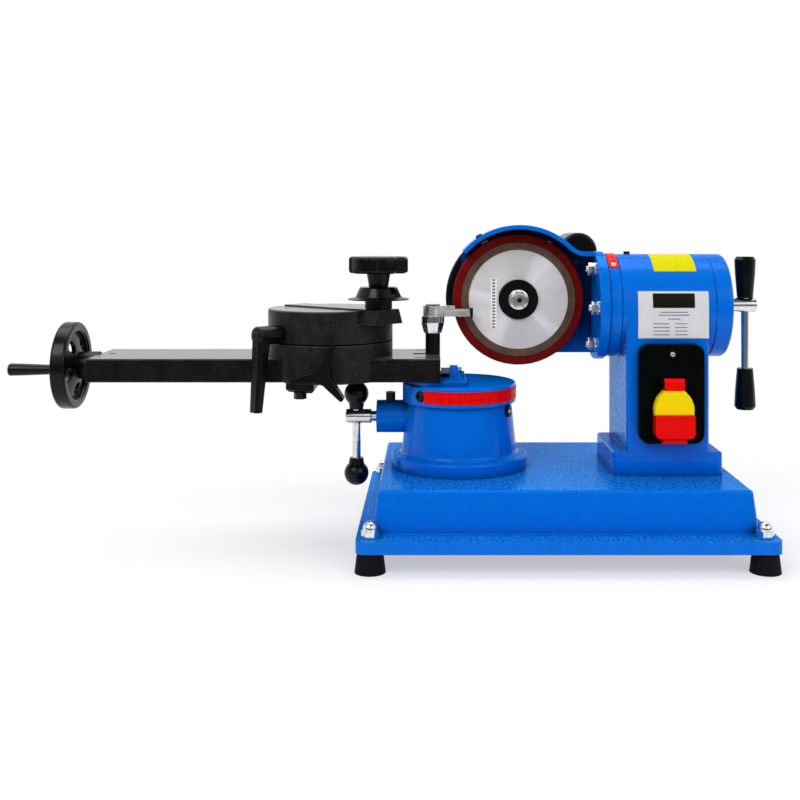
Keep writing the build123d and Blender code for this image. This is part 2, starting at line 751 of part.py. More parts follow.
def barrel_cap():
    """Rounded end cap that carries the feed screw."""
    cap = Pos(0, 0, CAP_T / 2) * Cylinder(BARREL_R, CAP_T)
    cap = fillet(edges_at(cap, CAP_T), CAP_EDGE)
    cap = chamfer(edges_at(cap, 0), BARREL_EDGE)
    cap = Pos(CAP_X, 0, AXIS_Z) * Rot(0, 90, 0) * cap
    cap -= rod(FEED_R + RUN, CAP_X, CAP_END, 0, AXIS_Z)
    for y, z in cap_bolt_places():
        cap -= cap_bolt(y, z, SEAT)
    return cap


def turntable():
    """Disc with a spigot below, a seat for the arm and an upright lug."""
    disc = Pos(0, 0, TABLE_T / 2) * Cylinder(TABLE_R, TABLE_T)
    disc = Pos(0, 0, TABLE_LOW) * fillet(edges_at(disc, TABLE_T), TABLE_EDGE)
    seat_end = LUG_X + LUG_T + PAD_PAST_LUG
    seat = block(-TABLE_R, seat_end, -PAD_W / 2, PAD_W / 2, TABLE_TOP - PAST, ARM_LOW)
    seat = seat & post(TABLE_R - TABLE_EDGE, TABLE_TOP - PAST, ARM_LOW)
    lug_low = Rectangle(LUG_T, LUG_W)
    lug_high = Rectangle(LUG_TOP_T, LUG_TOP_W)
    lug_lean = (LUG_T - LUG_TOP_T) / 2
    lug = loft([Pos(0, 0, TABLE_TOP - PAST) * lug_low, Pos(-lug_lean, 0, TABLE_TOP + LUG_H) * lug_high])
    table = disc + seat + Pos(LUG_X + LUG_T / 2, 0, 0) * lug
    table += post(SPIGOT_R, PED_TOP - SPIGOT_L, TABLE_LOW + PAST)
    table += post(STUB_R, turret_nut_low(), PED_TOP - SPIGOT_L + PAST)
    head_top = TABLE_LOW + ARM_BOLT_SUNK + ARM_BOLT_HEAD_H
    for y in (-ARM_BOLT_Y, ARM_BOLT_Y):
        table -= post(ARM_BOLT_R + SEAT, TABLE_LOW, ARM_LOW, ARM_BOLT_X, y)
        table -= post(ARM_BOLT_HEAD_R + SEAT, TABLE_LOW, head_top, ARM_BOLT_X, y)
    return table - stop_bolt_shank(SEAT)


def turret_nut_low():
    """Level of the underside of the turret's nut."""
    return BASE_TOP + PED_NUT_POCKET_H - FACE - TURRET_WASHER_T - TURRET_NUT_H


def turret_nut():
    """Nut and washer that keep the turntable down."""
    low = turret_nut_low()
    nut = Pos(0, 0, low) * hexagon(TURRET_NUT_AF, TURRET_NUT_H)
    washer = post(TURRET_WASHER_R, low + TURRET_NUT_H, low + TURRET_NUT_H + TURRET_WASHER_T)
    return nut + washer - post(STUB_R + SEAT, low, BASE_TOP + PED_NUT_POCKET_H)


def curved_plate(radius, thick, height, start, end):
    """A strip bent round Z on z = 0, between two angles."""
    outer = CenterArc((0, 0), radius + thick, start, end - start)
    inner = CenterArc((0, 0), radius, start, end - start)
    sides = [Line(outer @ 0, inner @ 0), Line(outer @ 1, inner @ 1)]
    return extrude(make_face([outer, inner, *sides]), height)


def angle_scale():
    """Red scale plate bent round the turntable's rim."""
    plate = curved_plate(TABLE_R, SCALE_T, SCALE_H, SCALE_FROM_ANGLE, SCALE_TO_ANGLE)
    return Pos(0, 0, TABLE_LOW + SCALE_UP) * plate


def slide_arm():
    """Flat arm with a groove below for the lead screw and slots at the turret end."""
    arm = block(ARM_START, ARM_END, -ARM_W / 2, ARM_W / 2, ARM_LOW, ARM_TOP)
    arm = chamfer(arm.edges().filter_by(Axis.X), ARM_EDGE)
    groove_from = ARM_START + GROOVE_END_WALL
    groove_to = ARM_END - GROOVE_INNER_WALL
    arm -= block(groove_from, groove_to, -GROOVE_W / 2, GROOVE_W / 2, ARM_LOW, ARM_LOW + GROOVE_H)
    arm -= rod(LEAD_R + RUN, ARM_START, groove_to + SCREW_BLIND + LOOSE, 0, LEAD_Z)
    arm -= block(ARM_END - POST_SLOT_L, ARM_END, -POST_SLOT_W / 2, POST_SLOT_W / 2, ARM_LOW, ARM_TOP)
    kerf_y = ARM_W / 2 - KERF_IN
    for y in (-kerf_y, kerf_y):
        arm -= block(ARM_END - KERF_L, ARM_END, y - KERF_W / 2, y + KERF_W / 2, ARM_TOP - KERF_D, ARM_TOP)
    arm -= post(OIL_HOLE_R, ARM_TOP - OIL_HOLE_D, ARM_TOP, ARM_START + OIL_HOLE_IN)
    for y in (-ARM_BOLT_Y, ARM_BOLT_Y):
        arm -= post(ARM_BOLT_R + SEAT, ARM_LOW, ARM_LOW + ARM_BOLT_GRIP + SEAT, ARM_BOLT_X, y)
    return arm


def arm_bolts():
    """Cap screws from under the turntable into the arm."""
    head_low = TABLE_LOW + ARM_BOLT_SUNK
    head_top = head_low + ARM_BOLT_HEAD_H
    head = post(ARM_BOLT_HEAD_R, head_low, head_top)
    bolt = head + post(ARM_BOLT_R, head_top, ARM_LOW + ARM_BOLT_GRIP)
    return group(*[Pos(ARM_BOLT_X, y, 0) * bolt for y in (-ARM_BOLT_Y, ARM_BOLT_Y)])


def stop_bolt_shank(play=0.0):
    """Shank of the stop bolt, through the lug."""
    level = ARM_LOW + STOP_BOLT_UP
    return rod(STOP_BOLT_R + play, LUG_X, LUG_X + LUG_T + STOP_BOLT_OUT, 0, level)


def arm_stop_bolt():
    """Hex bolt in the lug, its head against the arm's end."""
    level = ARM_LOW + STOP_BOLT_UP
    head = Pos(LUG_X - STOP_BOLT_HEAD, 0, level) * Rot(0, 90, 0) * hexagon(STOP_BOLT_AF, STOP_BOLT_HEAD)
    return head + stop_bolt_shank()


def stop_post():
    """Post of the tooth stop, with a tenon in the arm's slot."""
    shaft = post(POST_R, ARM_TOP, ARM_TOP + POST_H, POST_X)
    half = POST_SLOT_W / 2 - SEAT
    tenon = block(POST_X - POST_R, ARM_END, -half, half, ARM_LOW + POST_TENON_END, ARM_TOP)
    return shaft + tenon


def cross_hub(radius, length):
    """Chamfered hub along X from x = 0."""
    hub = Pos(0, 0, length / 2) * Cylinder(radius, length)
    return Rot(0, 90, 0) * chamfer(hub.edges().filter_by(GeomType.CIRCLE), HUB_EDGE)


def lock_screw():
    """Screw of the turret lock with its cross-drilled hub."""
    shaft = rod(LOCK_SHAFT_R, LOCK_HUB_X, -SPIGOT_R - LOOSE, 0, BOSS_AXIS)
    hub = Pos(LOCK_HUB_X - LOCK_HUB_L, 0, BOSS_AXIS) * cross_hub(LOCK_HUB_R, LOCK_HUB_L)
    drill = post(LOCK_BAR_R + RUN, BOSS_AXIS - 2 * LOCK_HUB_R, BOSS_AXIS + 2 * LOCK_HUB_R, LOCK_BAR_X)
    return shaft + hub - drill


def lock_knob_levels():
    """Levels of the middles of the two ball knobs."""
    upper = BOSS_AXIS + LOCK_HUB_R + FACE + KNOB_NECK_L
    return upper - LOCK_BAR_SPAN, upper


def lock_bar():
    """Sliding bar of the turret lock."""
    lower, upper = lock_knob_levels()
    return post(LOCK_BAR_R, lower - KNOB_BAR_DEPTH, upper + KNOB_BAR_DEPTH, LOCK_BAR_X)


def lock_knobs():
    """Ball knobs with necks on the ends of the lock bar."""
    ball = Sphere(KNOB_R) + turned(
        (0, -KNOB_NECK_L),
        (KNOB_NECK_R, -KNOB_NECK_L),
        (KNOB_NECK_R + KNOB_FLARE, -KNOB_NECK_TOP),
        (0, -KNOB_NECK_TOP),
    )
    ball -= post(LOCK_BAR_R + SEAT, -KNOB_NECK_L, KNOB_BAR_DEPTH + SEAT)
    lower, upper = lock_knob_levels()
    return group(Pos(LOCK_BAR_X, 0, upper) * ball, Pos(LOCK_BAR_X, 0, lower) * Rot(180, 0, 0) * ball)


def lead_screw():
    """Lead screw of the carriage."""
    inner = ARM_END - GROOVE_INNER_WALL + SCREW_BLIND
    return rod(LEAD_R, HAND_X - HAND_RIM_W / 2, inner, 0, LEAD_Z)


def handwheel():
    """Dished handwheel with round windows and a hub that reaches the arm's end."""
    rim_in = HAND_R - HAND_RIM_T
    rim = turned((rim_in, 0), (HAND_R, 0), (HAND_R, HAND_RIM_W), (rim_in, HAND_RIM_W))
    rim = fillet(rim.edges().filter_by(GeomType.CIRCLE), HAND_RIM_EDGE)
    web_low = HAND_RIM_W / 2 - HAND_WEB_T / 2
    web = turned(
        (HAND_HUB_R - PAST, web_low + HAND_DISH),
        (rim_in + PAST, web_low),
        (rim_in + PAST, web_low + HAND_WEB_T),
        (HAND_HUB_R - PAST, web_low + HAND_DISH + HAND_WEB_T),
    )
    for u, v in ring_places(HAND_WINDOW_AT, [i * 360 / HAND_WINDOWS for i in range(HAND_WINDOWS)]):
        web -= post(HAND_WINDOW_R, -HAND_RIM_W, 2 * HAND_RIM_W, u, v)
    hub = post(HAND_HUB_R, -HAND_HUB_OUT, HAND_RIM_W + WHEEL_GAP - FACE)
    wheel = rim + web + hub
    wheel = Pos(HAND_X - HAND_RIM_W, 0, LEAD_Z) * Rot(0, 90, 0) * wheel
    wheel -= rod(LEAD_R + SEAT, HAND_X - HAND_RIM_W / 2 - SEAT, ARM_START, 0, LEAD_Z)
    return wheel - crank_pin(SEAT)


def crank_pin(play=0.0):
    """Steel pin of the crank grip, fixed in the rim."""
    start = HAND_X - CRANK_PIN_BLIND + play
    end = HAND_X - HAND_RIM_W - CRANK_L + CRANK_PIN_SHORT
    return rod(CRANK_PIN_R + play, end, start, -CRANK_AT, LEAD_Z)


def crank_grip():
    """Loose barrel-shaped grip on the crank pin."""
    grip = turned(
        (CRANK_PIN_R + RUN, 0),
        (CRANK_NECK_R, 0),
        (CRANK_R, CRANK_BELLY_AT),
        (CRANK_SHOULDER_R, CRANK_SHOULDER_AT),
        (CRANK_END_R, CRANK_L),
        (0, CRANK_L),
        (0, CRANK_L - CRANK_CAP_T),
        (CRANK_PIN_R + RUN, CRANK_L - CRANK_CAP_T),
    )
    return Pos(HAND_X - HAND_RIM_W - FACE, -CRANK_AT, LEAD_Z) * Rot(0, -90, 0) * grip


def keeper_bolt_places():
    """Places of the keeper's bolts across the arm."""
    wall_in = ARM_W / 2 + FACE
    wall_out = math.sqrt(CAR_R**2 - KEEPER_X**2)
    side = (wall_in + wall_out) / 2
    return (-side, 0.0, side)


def carriage():
    """Round saddle that straddles the arm."""
    body = Pos(0, 0, CAR_H / 2) * Cylinder(CAR_R, CAR_H)
    body = chamfer(body.edges().filter_by(GeomType.CIRCLE), CAR_EDGE)
    body = Pos(CAR_X, 0, CAR_LOW) * body
    half = ARM_W / 2 + FACE
    body -= block(CAR_X - 2 * CAR_R, CAR_X + 2 * CAR_R, -half, half, CAR_LOW, ARM_TOP + FACE)
    body -= post(PIVOT_R + RUN, ARM_TOP, CAR_TOP, CAR_X)
    body -= rod_y(TRI_SCREW_R + RUN, -CAR_R, -half, CAR_X, LEAD_Z)
    for y in (keeper_bolt_places()[0], keeper_bolt_places()[2]):
        body -= post(KEEPER_BOLT_R + SEAT, CAR_LOW, CAR_LOW + KEEPER_BOLT_GRIP + SEAT, CAR_X + KEEPER_X, y)
    return body


def lead_nut():
    """Nut block in the arm's groove."""
    x = CAR_X + KEEPER_X
    half = GROOVE_W / 2 - LOOSE
    nut = block(x - NUT_L / 2, x + NUT_L / 2, -half, half, CAR_LOW, ARM_LOW + GROOVE_H - NUT_TOP_GAP)
    nut -= rod(LEAD_R + RUN, x - NUT_L, x + NUT_L, 0, LEAD_Z)
    return nut - post(KEEPER_BOLT_R + SEAT, CAR_LOW, CAR_LOW + nut_bolt_grip() + SEAT, x)


def nut_bolt_grip():
    """How far the middle keeper bolt reaches into the lead nut."""
    return LEAD_Z - LEAD_R - CAR_LOW - NUT_BOLT_CLEAR


def keeper_bar():
    """Bar under the arm that holds the saddle down and carries the lead nut."""
    x = CAR_X + KEEPER_X
    bar = block(x - KEEPER_W / 2, x + KEEPER_W / 2, -CAR_R, CAR_R, CAR_LOW - KEEPER_T, CAR_LOW)
    bar = bar & post(CAR_R - CAR_EDGE, CAR_LOW - KEEPER_T, CAR_LOW, CAR_X)
    bar = chamfer(edges_at(bar, CAR_LOW - KEEPER_T), KEEPER_EDGE)
    for y in keeper_bolt_places():
        bar -= post(KEEPER_BOLT_R + SEAT, CAR_LOW - KEEPER_T, CAR_LOW, x, y)
    return bar


def keeper_bolts():
    """Hex bolts of the keeper bar."""
    low = CAR_LOW - KEEPER_T
    grips = (KEEPER_BOLT_GRIP, nut_bolt_grip(), KEEPER_BOLT_GRIP)
    bolts = []
    for y, grip in zip(keeper_bolt_places(), grips):
        head = Pos(0, 0, low - KEEPER_BOLT_HEAD) * hexagon(KEEPER_BOLT_AF, KEEPER_BOLT_HEAD)
        bolts.append(Pos(CAR_X + KEEPER_X, y, 0) * (head + post(KEEPER_BOLT_R, low, CAR_LOW + grip)))
    return group(*bolts)


def carriage_knob():
    """Lock knob with three points and hollow sides."""
    root = TRI_ROOT_W / 2
    tip = TRI_TIP_W / 2
    arm = make_face(Polyline((0, -root), (TRI_POINT_R, -tip), (TRI_POINT_R, tip), (0, root), close=True))
    arm = fillet(arm.vertices().group_by(Axis.X)[-1], TRI_TIP_R)
    outline = Circle(TRI_HUB_R)
    for i in range(3):
        outline += Rot(0, 0, TRI_TURN_ANGLE + i * TRI_STEP_ANGLE) * arm
    inner = [v for v in outline.vertices() if v.center().length < TRI_HUB_R + PAST]
    outline = fillet(inner, TRI_HOLLOW_R)
    star = extrude(outline, TRI_T)
    star += post(TRI_NECK_R, -TRI_NECK_L, TRI_T / 2)
    screw_l = CAR_R - ARM_W / 2 - TRI_SCREW_CLEAR
    star += post(TRI_SCREW_R, -TRI_NECK_L - screw_l, -TRI_NECK_L + PAST)
    return Pos(CAR_X, -CAR_R - LOOSE - TRI_NECK_L, LEAD_Z) * Rot(90, 0, 0) * star


def seat_place():
    """Frame of the dovetail: its X runs along the groove from the disc's axis."""
    return Pos(CAR_X, 0, 0) * Rot(0, 0, DOVE_ANGLE)


def dovetail(start, end, low, high, play):
    """A bar of dovetail section along X."""
    slope = (DOVE_LOW_W - DOVE_TOP_W) / 2 / DOVE_DEPTH
    wide = DOVE_LOW_W / 2 - play
    narrow = DOVE_TOP_W / 2 - play - slope * (high - DISC_TOP)
    section = Polyline(
        (start, -wide, low), (start, wide, low), (start, narrow, high), (start, -narrow, high), close=True
    )
    return extrude(make_face(section), end - start, dir=(1, 0, 0))


def rotary_disc():
    """Disc that turns on the carriage, with a dovetail groove across its top."""
    disc = Pos(0, 0, DISC_H / 2) * Cylinder(CAR_R, DISC_H)
    disc = chamfer(edges_at(disc, DISC_H), DISC_EDGE)
    disc = Pos(0, 0, DISC_LOW) * disc + post(PIVOT_R, ARM_TOP + LOOSE, DISC_LOW + PAST)
    low = DISC_TOP - DOVE_DEPTH
    disc -= dovetail(-2 * CAR_R, 2 * CAR_R, low, DISC_TOP + PAST, 0)
    disc -= block(CAR_R - DISC_FLAT_IN, 2 * CAR_R, -CAR_R, CAR_R, low, DISC_TOP + PAST)
    disc = seat_place() * disc
    return disc - lever_place() * rod(LEVER_STUD_R + RUN, CAR_R - LEVER_STUD_IN - LOOSE, CAR_R + PAST)


def slide_bar():
    """Dovetail bar that carries the blade's stud."""
    rear = BAR_REAR_IN - CAR_R
    bar = dovetail(rear, CAR_R + BAR_OUT, DISC_TOP - DOVE_DEPTH + FACE, BAR_TOP, FACE)
    bar -= post(STUD_R + SEAT, BAR_TOP - STUD_ROOT - SEAT, BAR_TOP, STUD_AT)
    return seat_place() * bar


def blade_stud():
    """Stud with a hub that the blade rests on."""
    stud = post(STUD_R, BAR_TOP - STUD_ROOT, BAR_TOP + STUD_TOP, STUD_AT)
    hub = Pos(0, 0, STUD_HUB_H / 2) * Cylinder(STUD_HUB_R, STUD_HUB_H)
    hub = chamfer(edges_at(hub, 0), STUD_HUB_EDGE)
    return seat_place() * (stud + Pos(STUD_AT, 0, BAR_TOP) * hub)


def centring_cone():
    """Centring cone with a thin brim."""
    cone = turned(
        (STUD_R + RUN, 0),
        (CONE_BRIM_R, 0),
        (CONE_BRIM_R, CONE_BRIM_EDGE),
        (CONE_BASE_R, CONE_BRIM_T),
        (CONE_TOP_R + CONE_TOP_EDGE, CONE_H - CONE_TOP_EDGE),
        (CONE_TOP_R, CONE_H),
        (STUD_R + RUN, CONE_H),
    )
    notch_from = STAR_NECK_R + CONE_NOTCH_IN
    notch_low = CONE_H - CONE_NOTCH_H
    cone -= block(notch_from, CONE_BASE_R, -CONE_NOTCH_W / 2, CONE_NOTCH_W / 2, notch_low, CONE_H)
    return seat_place() * Pos(STUD_AT, 0, CONE_LOW) * cone


def star_knob():
    """Lobed knob on a waisted neck."""
    head = Pos(0, 0, STAR_H / 2) * Cylinder(STAR_R, STAR_H)
    for u, v in ring_places(STAR_SCALLOP_AT, [i * 360 / STAR_LOBES for i in range(STAR_LOBES)]):
        head -= post(STAR_SCALLOP_R, 0, STAR_H, u, v)
    head = fillet(edges_at(head, STAR_H) + edges_at(head, 0), STAR_EDGE)
    neck = turned((0, 0), (STAR_NECK_R, 0), (STAR_NECK_TOP_R, STAR_NECK_H + PAST), (0, STAR_NECK_H + PAST))
    knob = neck + Pos(0, 0, STAR_NECK_H) * head
    knob -= post(STUD_R + RUN, 0, STAR_BORE_H)
    return seat_place() * Pos(STUD_AT, 0, STAR_LOW) * knob


def lever_place():
    """Frame of the clamp lever: its X runs out of the disc along the lever's axis."""
    return Pos(CAR_X, 0, DISC_LOW + LEVER_UP) * Rot(0, 0, LEVER_ANGLE)


def clamp_lever():
    """Clamp lever with a round hub and a tapered handle that hangs down."""
    near = CAR_R + LEVER_GAP
    far = near + LEVER_HUB_L
    hub = rod(LEVER_HUB_R, near + LEVER_COLLAR_L, far)
    hub = fillet(hub.edges().group_by(Axis.X)[-1], LEVER_HUB_EDGE)
    hub += rod(LEVER_COLLAR_R, near, near + LEVER_COLLAR_L + PAST)
    middle = far - LEVER_TOP_T / 2
    top = Pos(middle, 0, 0) * RectangleRounded(LEVER_TOP_T, LEVER_TOP_W, LEVER_TOP_CORNER)
    tip_face = RectangleRounded(LEVER_TIP_T, LEVER_TIP_W, LEVER_TIP_CORNER)
    tip = Pos(middle + LEVER_LEAN, 0, -LEVER_DROP) * tip_face
    handle = loft([top, tip])
    stud = rod(LEVER_STUD_R, CAR_R - LEVER_STUD_IN, near + PAST)
    return lever_place() * (hub + handle + stud)


def finger_clamp():
    """Chrome clamp of the tooth stop: a faceted taper under a ring."""
    low_hex = RegularPolygon(CLAMP_LOW_R, 6)
    high_hex = RegularPolygon(CLAMP_R, 6)
    taper = loft([low_hex, Pos(0, 0, CLAMP_CONE_H) * high_hex])
    ring = post(CLAMP_R, CLAMP_CONE_H, CLAMP_CONE_H + CLAMP_RING_H)
    clamp = taper + ring - post(POST_R + RUN, 0, CLAMP_CONE_H + CLAMP_RING_H)
    return Pos(POST_X, 0, CLAMP_Z) * clamp


def stop_finger():
    """Finger of the tooth stop, slotted along its front."""
    head = post(FINGER_HEAD_R, 0, FINGER_H)
    back = FINGER_FRONT + FINGER_W
    arm = block(0, FINGER_REACH, FINGER_FRONT, back, 0, FINGER_ARM_H)
    arm += block(0, FINGER_STEP_AT, FINGER_FRONT, back, FINGER_ARM_H, FINGER_H)
    finger = head + arm - post(POST_R + RUN, 0, FINGER_H)
    slot_z = FINGER_ARM_H - FINGER_SLOT_W
    slot_y = FINGER_FRONT + FINGER_SLOT_D
    finger -= block(FINGER_HEAD_R, FINGER_REACH, FINGER_FRONT - PAST, slot_y, slot_z, FINGER_ARM_H)
    return Pos(POST_X, 0, FINGER_Z) * finger


def finger_tip():
    """Hard tip on the end of the finger."""
    back = FINGER_FRONT + FINGER_W
    rise = (TIP_H - FINGER_ARM_H) / 2
    tip = block(FINGER_REACH, FINGER_REACH + TIP_L, FINGER_FRONT, back, -rise, TIP_H - rise)
    return Pos(POST_X, 0, FINGER_Z) * tip


def quill():
    """Sliding quill with the tilt ring on its front end."""
    tube = rod(QUILL_R, RING_X - PAST, RING_X + QUILL_L, 0, AXIS_Z)
    ring = rod(RING_R, RING_X - RING_T, RING_X, 0, AXIS_Z)
    ring = chamfer(ring.edges().filter_by(GeomType.CIRCLE), RING_EDGE)
    body = ring + tube
    body -= rod(PIVOT_STUB_R + RUN, RING_X - RING_T, RING_X - RING_T + PIVOT_STUB_L + LOOSE, 0, AXIS_Z)
    body -= rod(FEED_R + LOOSE, RING_X, RING_X + QUILL_L, 0, AXIS_Z)
    wide = HEAD_BOLT_R + LOOSE
    groove = rod(HEAD_BOLT_RING_R + wide, RING_X - RING_T, RING_X - RING_T + TEE_GROOVE_D, 0, AXIS_Z)
    groove -= rod(HEAD_BOLT_RING_R - wide, RING_X - RING_T, RING_X, 0, AXIS_Z)
    return body - groove


def tilt_scale():
    """Red scale plate bent over the tilt ring."""
    height = RING_T - 2 * TILT_EDGE
    plate = curved_plate(RING_R, TILT_T, height, TILT_FROM_ANGLE, TILT_TO_ANGLE)
    return Pos(RING_X - RING_T + TILT_EDGE, 0, AXIS_Z) * Rot(0, 90, 0) * plate


def on_wall(sketch, y, depth):
    """Extrude a sketch drawn in X and Z about the wheel's axis, from y backwards."""
    solid = extrude(sketch, depth)
    return Pos(WHEEL_X, y, WHEEL_Z) * Rot(90, 0, 0) * Pos(0, 0, -depth) * solid


def head_bracket():
    """Bracket of the grinding head: guard, roof, back web and round flange."""
    inner_r = GUARD_R - GUARD_T
    depth = WEB_Y + WEB_T - GUARD_FRONT
    flange_u = FLANGE_X - HEAD_FLANGE_T - WHEEL_X
    end = math.radians(GUARD_TO_ANGLE)
    edge_u = GUARD_R * math.cos(end)
    edge_v = GUARD_R * math.sin(end)
    sweep_v = ROOF_UP + GUARD_SWEEP_R
    sweep_u = math.sqrt((GUARD_R + GUARD_SWEEP_R) ** 2 - sweep_v**2)
    join = math.degrees(math.atan2(sweep_v, sweep_u))
    roof_to = flange_u + PAST
    arc = GUARD_TO_ANGLE - join
    turn = HALF_TURN / 2 - join
    outer = CenterArc((0, 0), GUARD_R, join, arc)
    inner = CenterArc((0, 0), inner_r, join, arc)
    sweep = CenterArc((sweep_u, sweep_v), GUARD_SWEEP_R, HALF_TURN + join, turn)
    sweep_in = CenterArc((sweep_u, sweep_v), GUARD_SWEEP_R + GUARD_T, HALF_TURN + join, turn)
    band = make_face(
        [
            outer,
            sweep,
            Polyline(sweep @ 1, (roof_to, ROOF_UP), (roof_to, ROOF_UP - GUARD_T), sweep_in @ 1),
            sweep_in,
            inner,
            Line(inner @ 1, outer @ 1),
        ]
    )
    bracket = on_wall(band, GUARD_FRONT, depth)
    low_v = WEB_LOW - WHEEL_Z
    plate = Circle(GUARD_R - GUARD_T / 2)
    plate &= Pos(edge_u + GUARD_R, GUARD_R) * Rectangle(2 * GUARD_R, 2 * GUARD_R)
    plate += Circle(WEB_R)
    side_u = sweep_u - GUARD_R / 2
    side = Rectangle(roof_to - side_u, ROOF_UP - low_v)
    plate += Pos((side_u + roof_to) / 2, (ROOF_UP + low_v) / 2) * side
    plate -= Circle(WEB_HOLE_R)
    bracket += on_wall(plate, WEB_Y, WEB_T)
    flange = rod(HEAD_FLANGE_R, FLANGE_X - HEAD_FLANGE_T, FLANGE_X, 0, AXIS_Z)
    bracket += chamfer(flange.edges().filter_by(GeomType.CIRCLE), HEAD_FLANGE_EDGE)
    bracket += rod(PIVOT_STUB_R, FLANGE_X - PAST, FLANGE_X + PIVOT_STUB_L, 0, AXIS_Z)
    for y, z in ring_places(HEAD_BOLT_RING_R, HEAD_BOLT_ANGLES):
        bracket -= rod(HEAD_BOLT_R + SEAT, FLANGE_X - HEAD_FLANGE_T, FLANGE_X, y, AXIS_Z + z)
    for u, v in ring_places(SHIELD_BOLT_RING_R, SHIELD_BOLT_ANGLES):
        bracket -= rod_y(SHIELD_BOLT_R + SEAT, WEB_Y, SHIELD_Y, WHEEL_X + u, WHEEL_Z + v)
    return bracket


def head_bolts():
    """Hex bolts of the flange and of the motor's shield."""
    bolts = []
    seat = FLANGE_X - HEAD_FLANGE_T
    for y, z in ring_places(HEAD_BOLT_RING_R, HEAD_BOLT_ANGLES):
        head = Rot(0, 90, 0) * hexagon(HEAD_BOLT_AF, HEAD_BOLT_HEAD)
        head = Pos(seat - HEAD_BOLT_HEAD, y, AXIS_Z + z) * head
        bolts.append(head + rod(HEAD_BOLT_R, seat, FLANGE_X + HEAD_BOLT_IN, y, AXIS_Z + z))
    for u, v in ring_places(SHIELD_BOLT_RING_R, SHIELD_BOLT_ANGLES):
        x = WHEEL_X + u
        z = WHEEL_Z + v
        head = Pos(x, WEB_Y, z) * Rot(90, 0, 0) * hexagon(SHIELD_BOLT_AF, SHIELD_BOLT_HEAD)
        bolts.append(head + rod_y(SHIELD_BOLT_R, WEB_Y, SHIELD_Y + SHIELD_T / 2, x, z))
    return group(*bolts)


def motor_shield():
    """Round black front shield of the motor."""
    outline = Circle(SHIELD_R) & Pos(0, SHIELD_R - SHIELD_STEP) * Rectangle(2 * SHIELD_R, 2 * SHIELD_R)
    shield = on_wall(outline + Circle(SHIELD_LOW_R), SHIELD_Y, SHIELD_T)
    shield = chamfer(shield.edges().group_by(Axis.Y)[0], SHIELD_EDGE)
    shield -= rod_y(SHAFT_R + RUN, SHIELD_Y, MOTOR_Y, WHEEL_X, WHEEL_Z)
    for u, v in ring_places(SHIELD_BOLT_RING_R, SHIELD_BOLT_ANGLES):
        hole_end = SHIELD_Y + SHIELD_T / 2 + SEAT
        shield -= rod_y(SHIELD_BOLT_R + SEAT, SHIELD_Y, hole_end, WHEEL_X + u, WHEEL_Z + v)
    return shield


def motor_body():
    """Motor shell with shallow grooves between its ribs and a rounded rear end."""
    shell = Pos(0, 0, MOTOR_L / 2) * Cylinder(MOTOR_R, MOTOR_L)
    shell = fillet(edges_at(shell, MOTOR_L), MOTOR_EDGE)
    half = MOTOR_RIB_W / 2
    rib_end = MOTOR_RIB_FROM + MOTOR_RIB_L
    cut = block(MOTOR_R - MOTOR_RIB_D, MOTOR_R + PAST, -half, half, MOTOR_RIB_FROM, rib_end)
    for i in range(MOTOR_RIBS):
        shell -= Rot(0, 0, -CAP_CAN_ANGLE - (i + 0.5) * 360 / MOTOR_RIBS) * cut
    shell -= post(SHAFT_R + LOOSE, 0, SHAFT_IN + LOOSE)
    return Pos(WHEEL_X, MOTOR_Y, WHEEL_Z) * Rot(-90, 0, 0) * shell


def capacitor():
    """Capacitor can on a saddle at the motor's side."""
    away = MOTOR_R + CAP_CAN_GAP + CAP_CAN_R
    can = Pos(0, 0, CAP_CAN_L / 2) * Cylinder(CAP_CAN_R, CAP_CAN_L)
    can = fillet(edges_at(can, 0) + edges_at(can, CAP_CAN_L), CAP_CAN_EDGE)
    start = (CAP_CAN_L - SADDLE_L) / 2
    low = MOTOR_R - SADDLE_SUNK - away
    saddle = block(low, 0, -SADDLE_W / 2, SADDLE_W / 2, start, start + SADDLE_L)
    saddle -= post(MOTOR_R + SEAT, 0, CAP_CAN_L, -away)
    shape = Rot(0, 0, -CAP_CAN_ANGLE) * Pos(away, 0, CAP_CAN_FROM) * (can + saddle)
    return Pos(WHEEL_X, MOTOR_Y, WHEEL_Z) * Rot(-90, 0, 0) * shape


def on_spindle(solid):
    """Put a solid turned about Z on the spindle, its z = 0 on the wheel's front face."""
    return Pos(WHEEL_X, WHEEL_Y, WHEEL_Z) * Rot(-90, 0, 0) * solid


def spindle():
    """Wheel spindle with nose, flange and threaded front."""
    nose = post(NOSE_R, 0, WHEEL_T) + post(NOSE_FLANGE_R, WHEEL_T, WHEEL_T + NOSE_FLANGE_T)
    back = MOTOR_Y + SHAFT_IN - WHEEL_Y
    return on_spindle(nose + post(SHAFT_R, WHEEL_T, back) + post(THREAD_R, -THREAD_OUT, PAST))


def wheel_core():
    """Metal core of the grinding wheel."""
    return on_spindle(post(CORE_R, 0, WHEEL_T) - post(NOSE_R + SEAT, 0, WHEEL_T))


def wheel_abrasive():
    """Abrasive ring, a little proud of the core."""
    return on_spindle(post(RIM_IN_R, -GRIT_PROUD, WHEEL_T) - post(CORE_R, -GRIT_PROUD, WHEEL_T))


def wheel_rim():
    """Outer ring of the wheel."""
    ring = post(WHEEL_R, 0, WHEEL_T)
    ring = chamfer(ring.edges().filter_by(GeomType.CIRCLE), WHEEL_EDGE)
    return on_spindle(ring - post(RIM_IN_R, 0, WHEEL_T))


def wheel_washer():
    """Black clamp washer, chamfered at its front."""
    washer = post(WASHER_R, -WASHER_T, 0)
    washer = chamfer(edges_at(washer, -WASHER_T), WASHER_EDGE)
    return on_spindle(washer - post(THREAD_R + SEAT, -WASHER_T, 0))


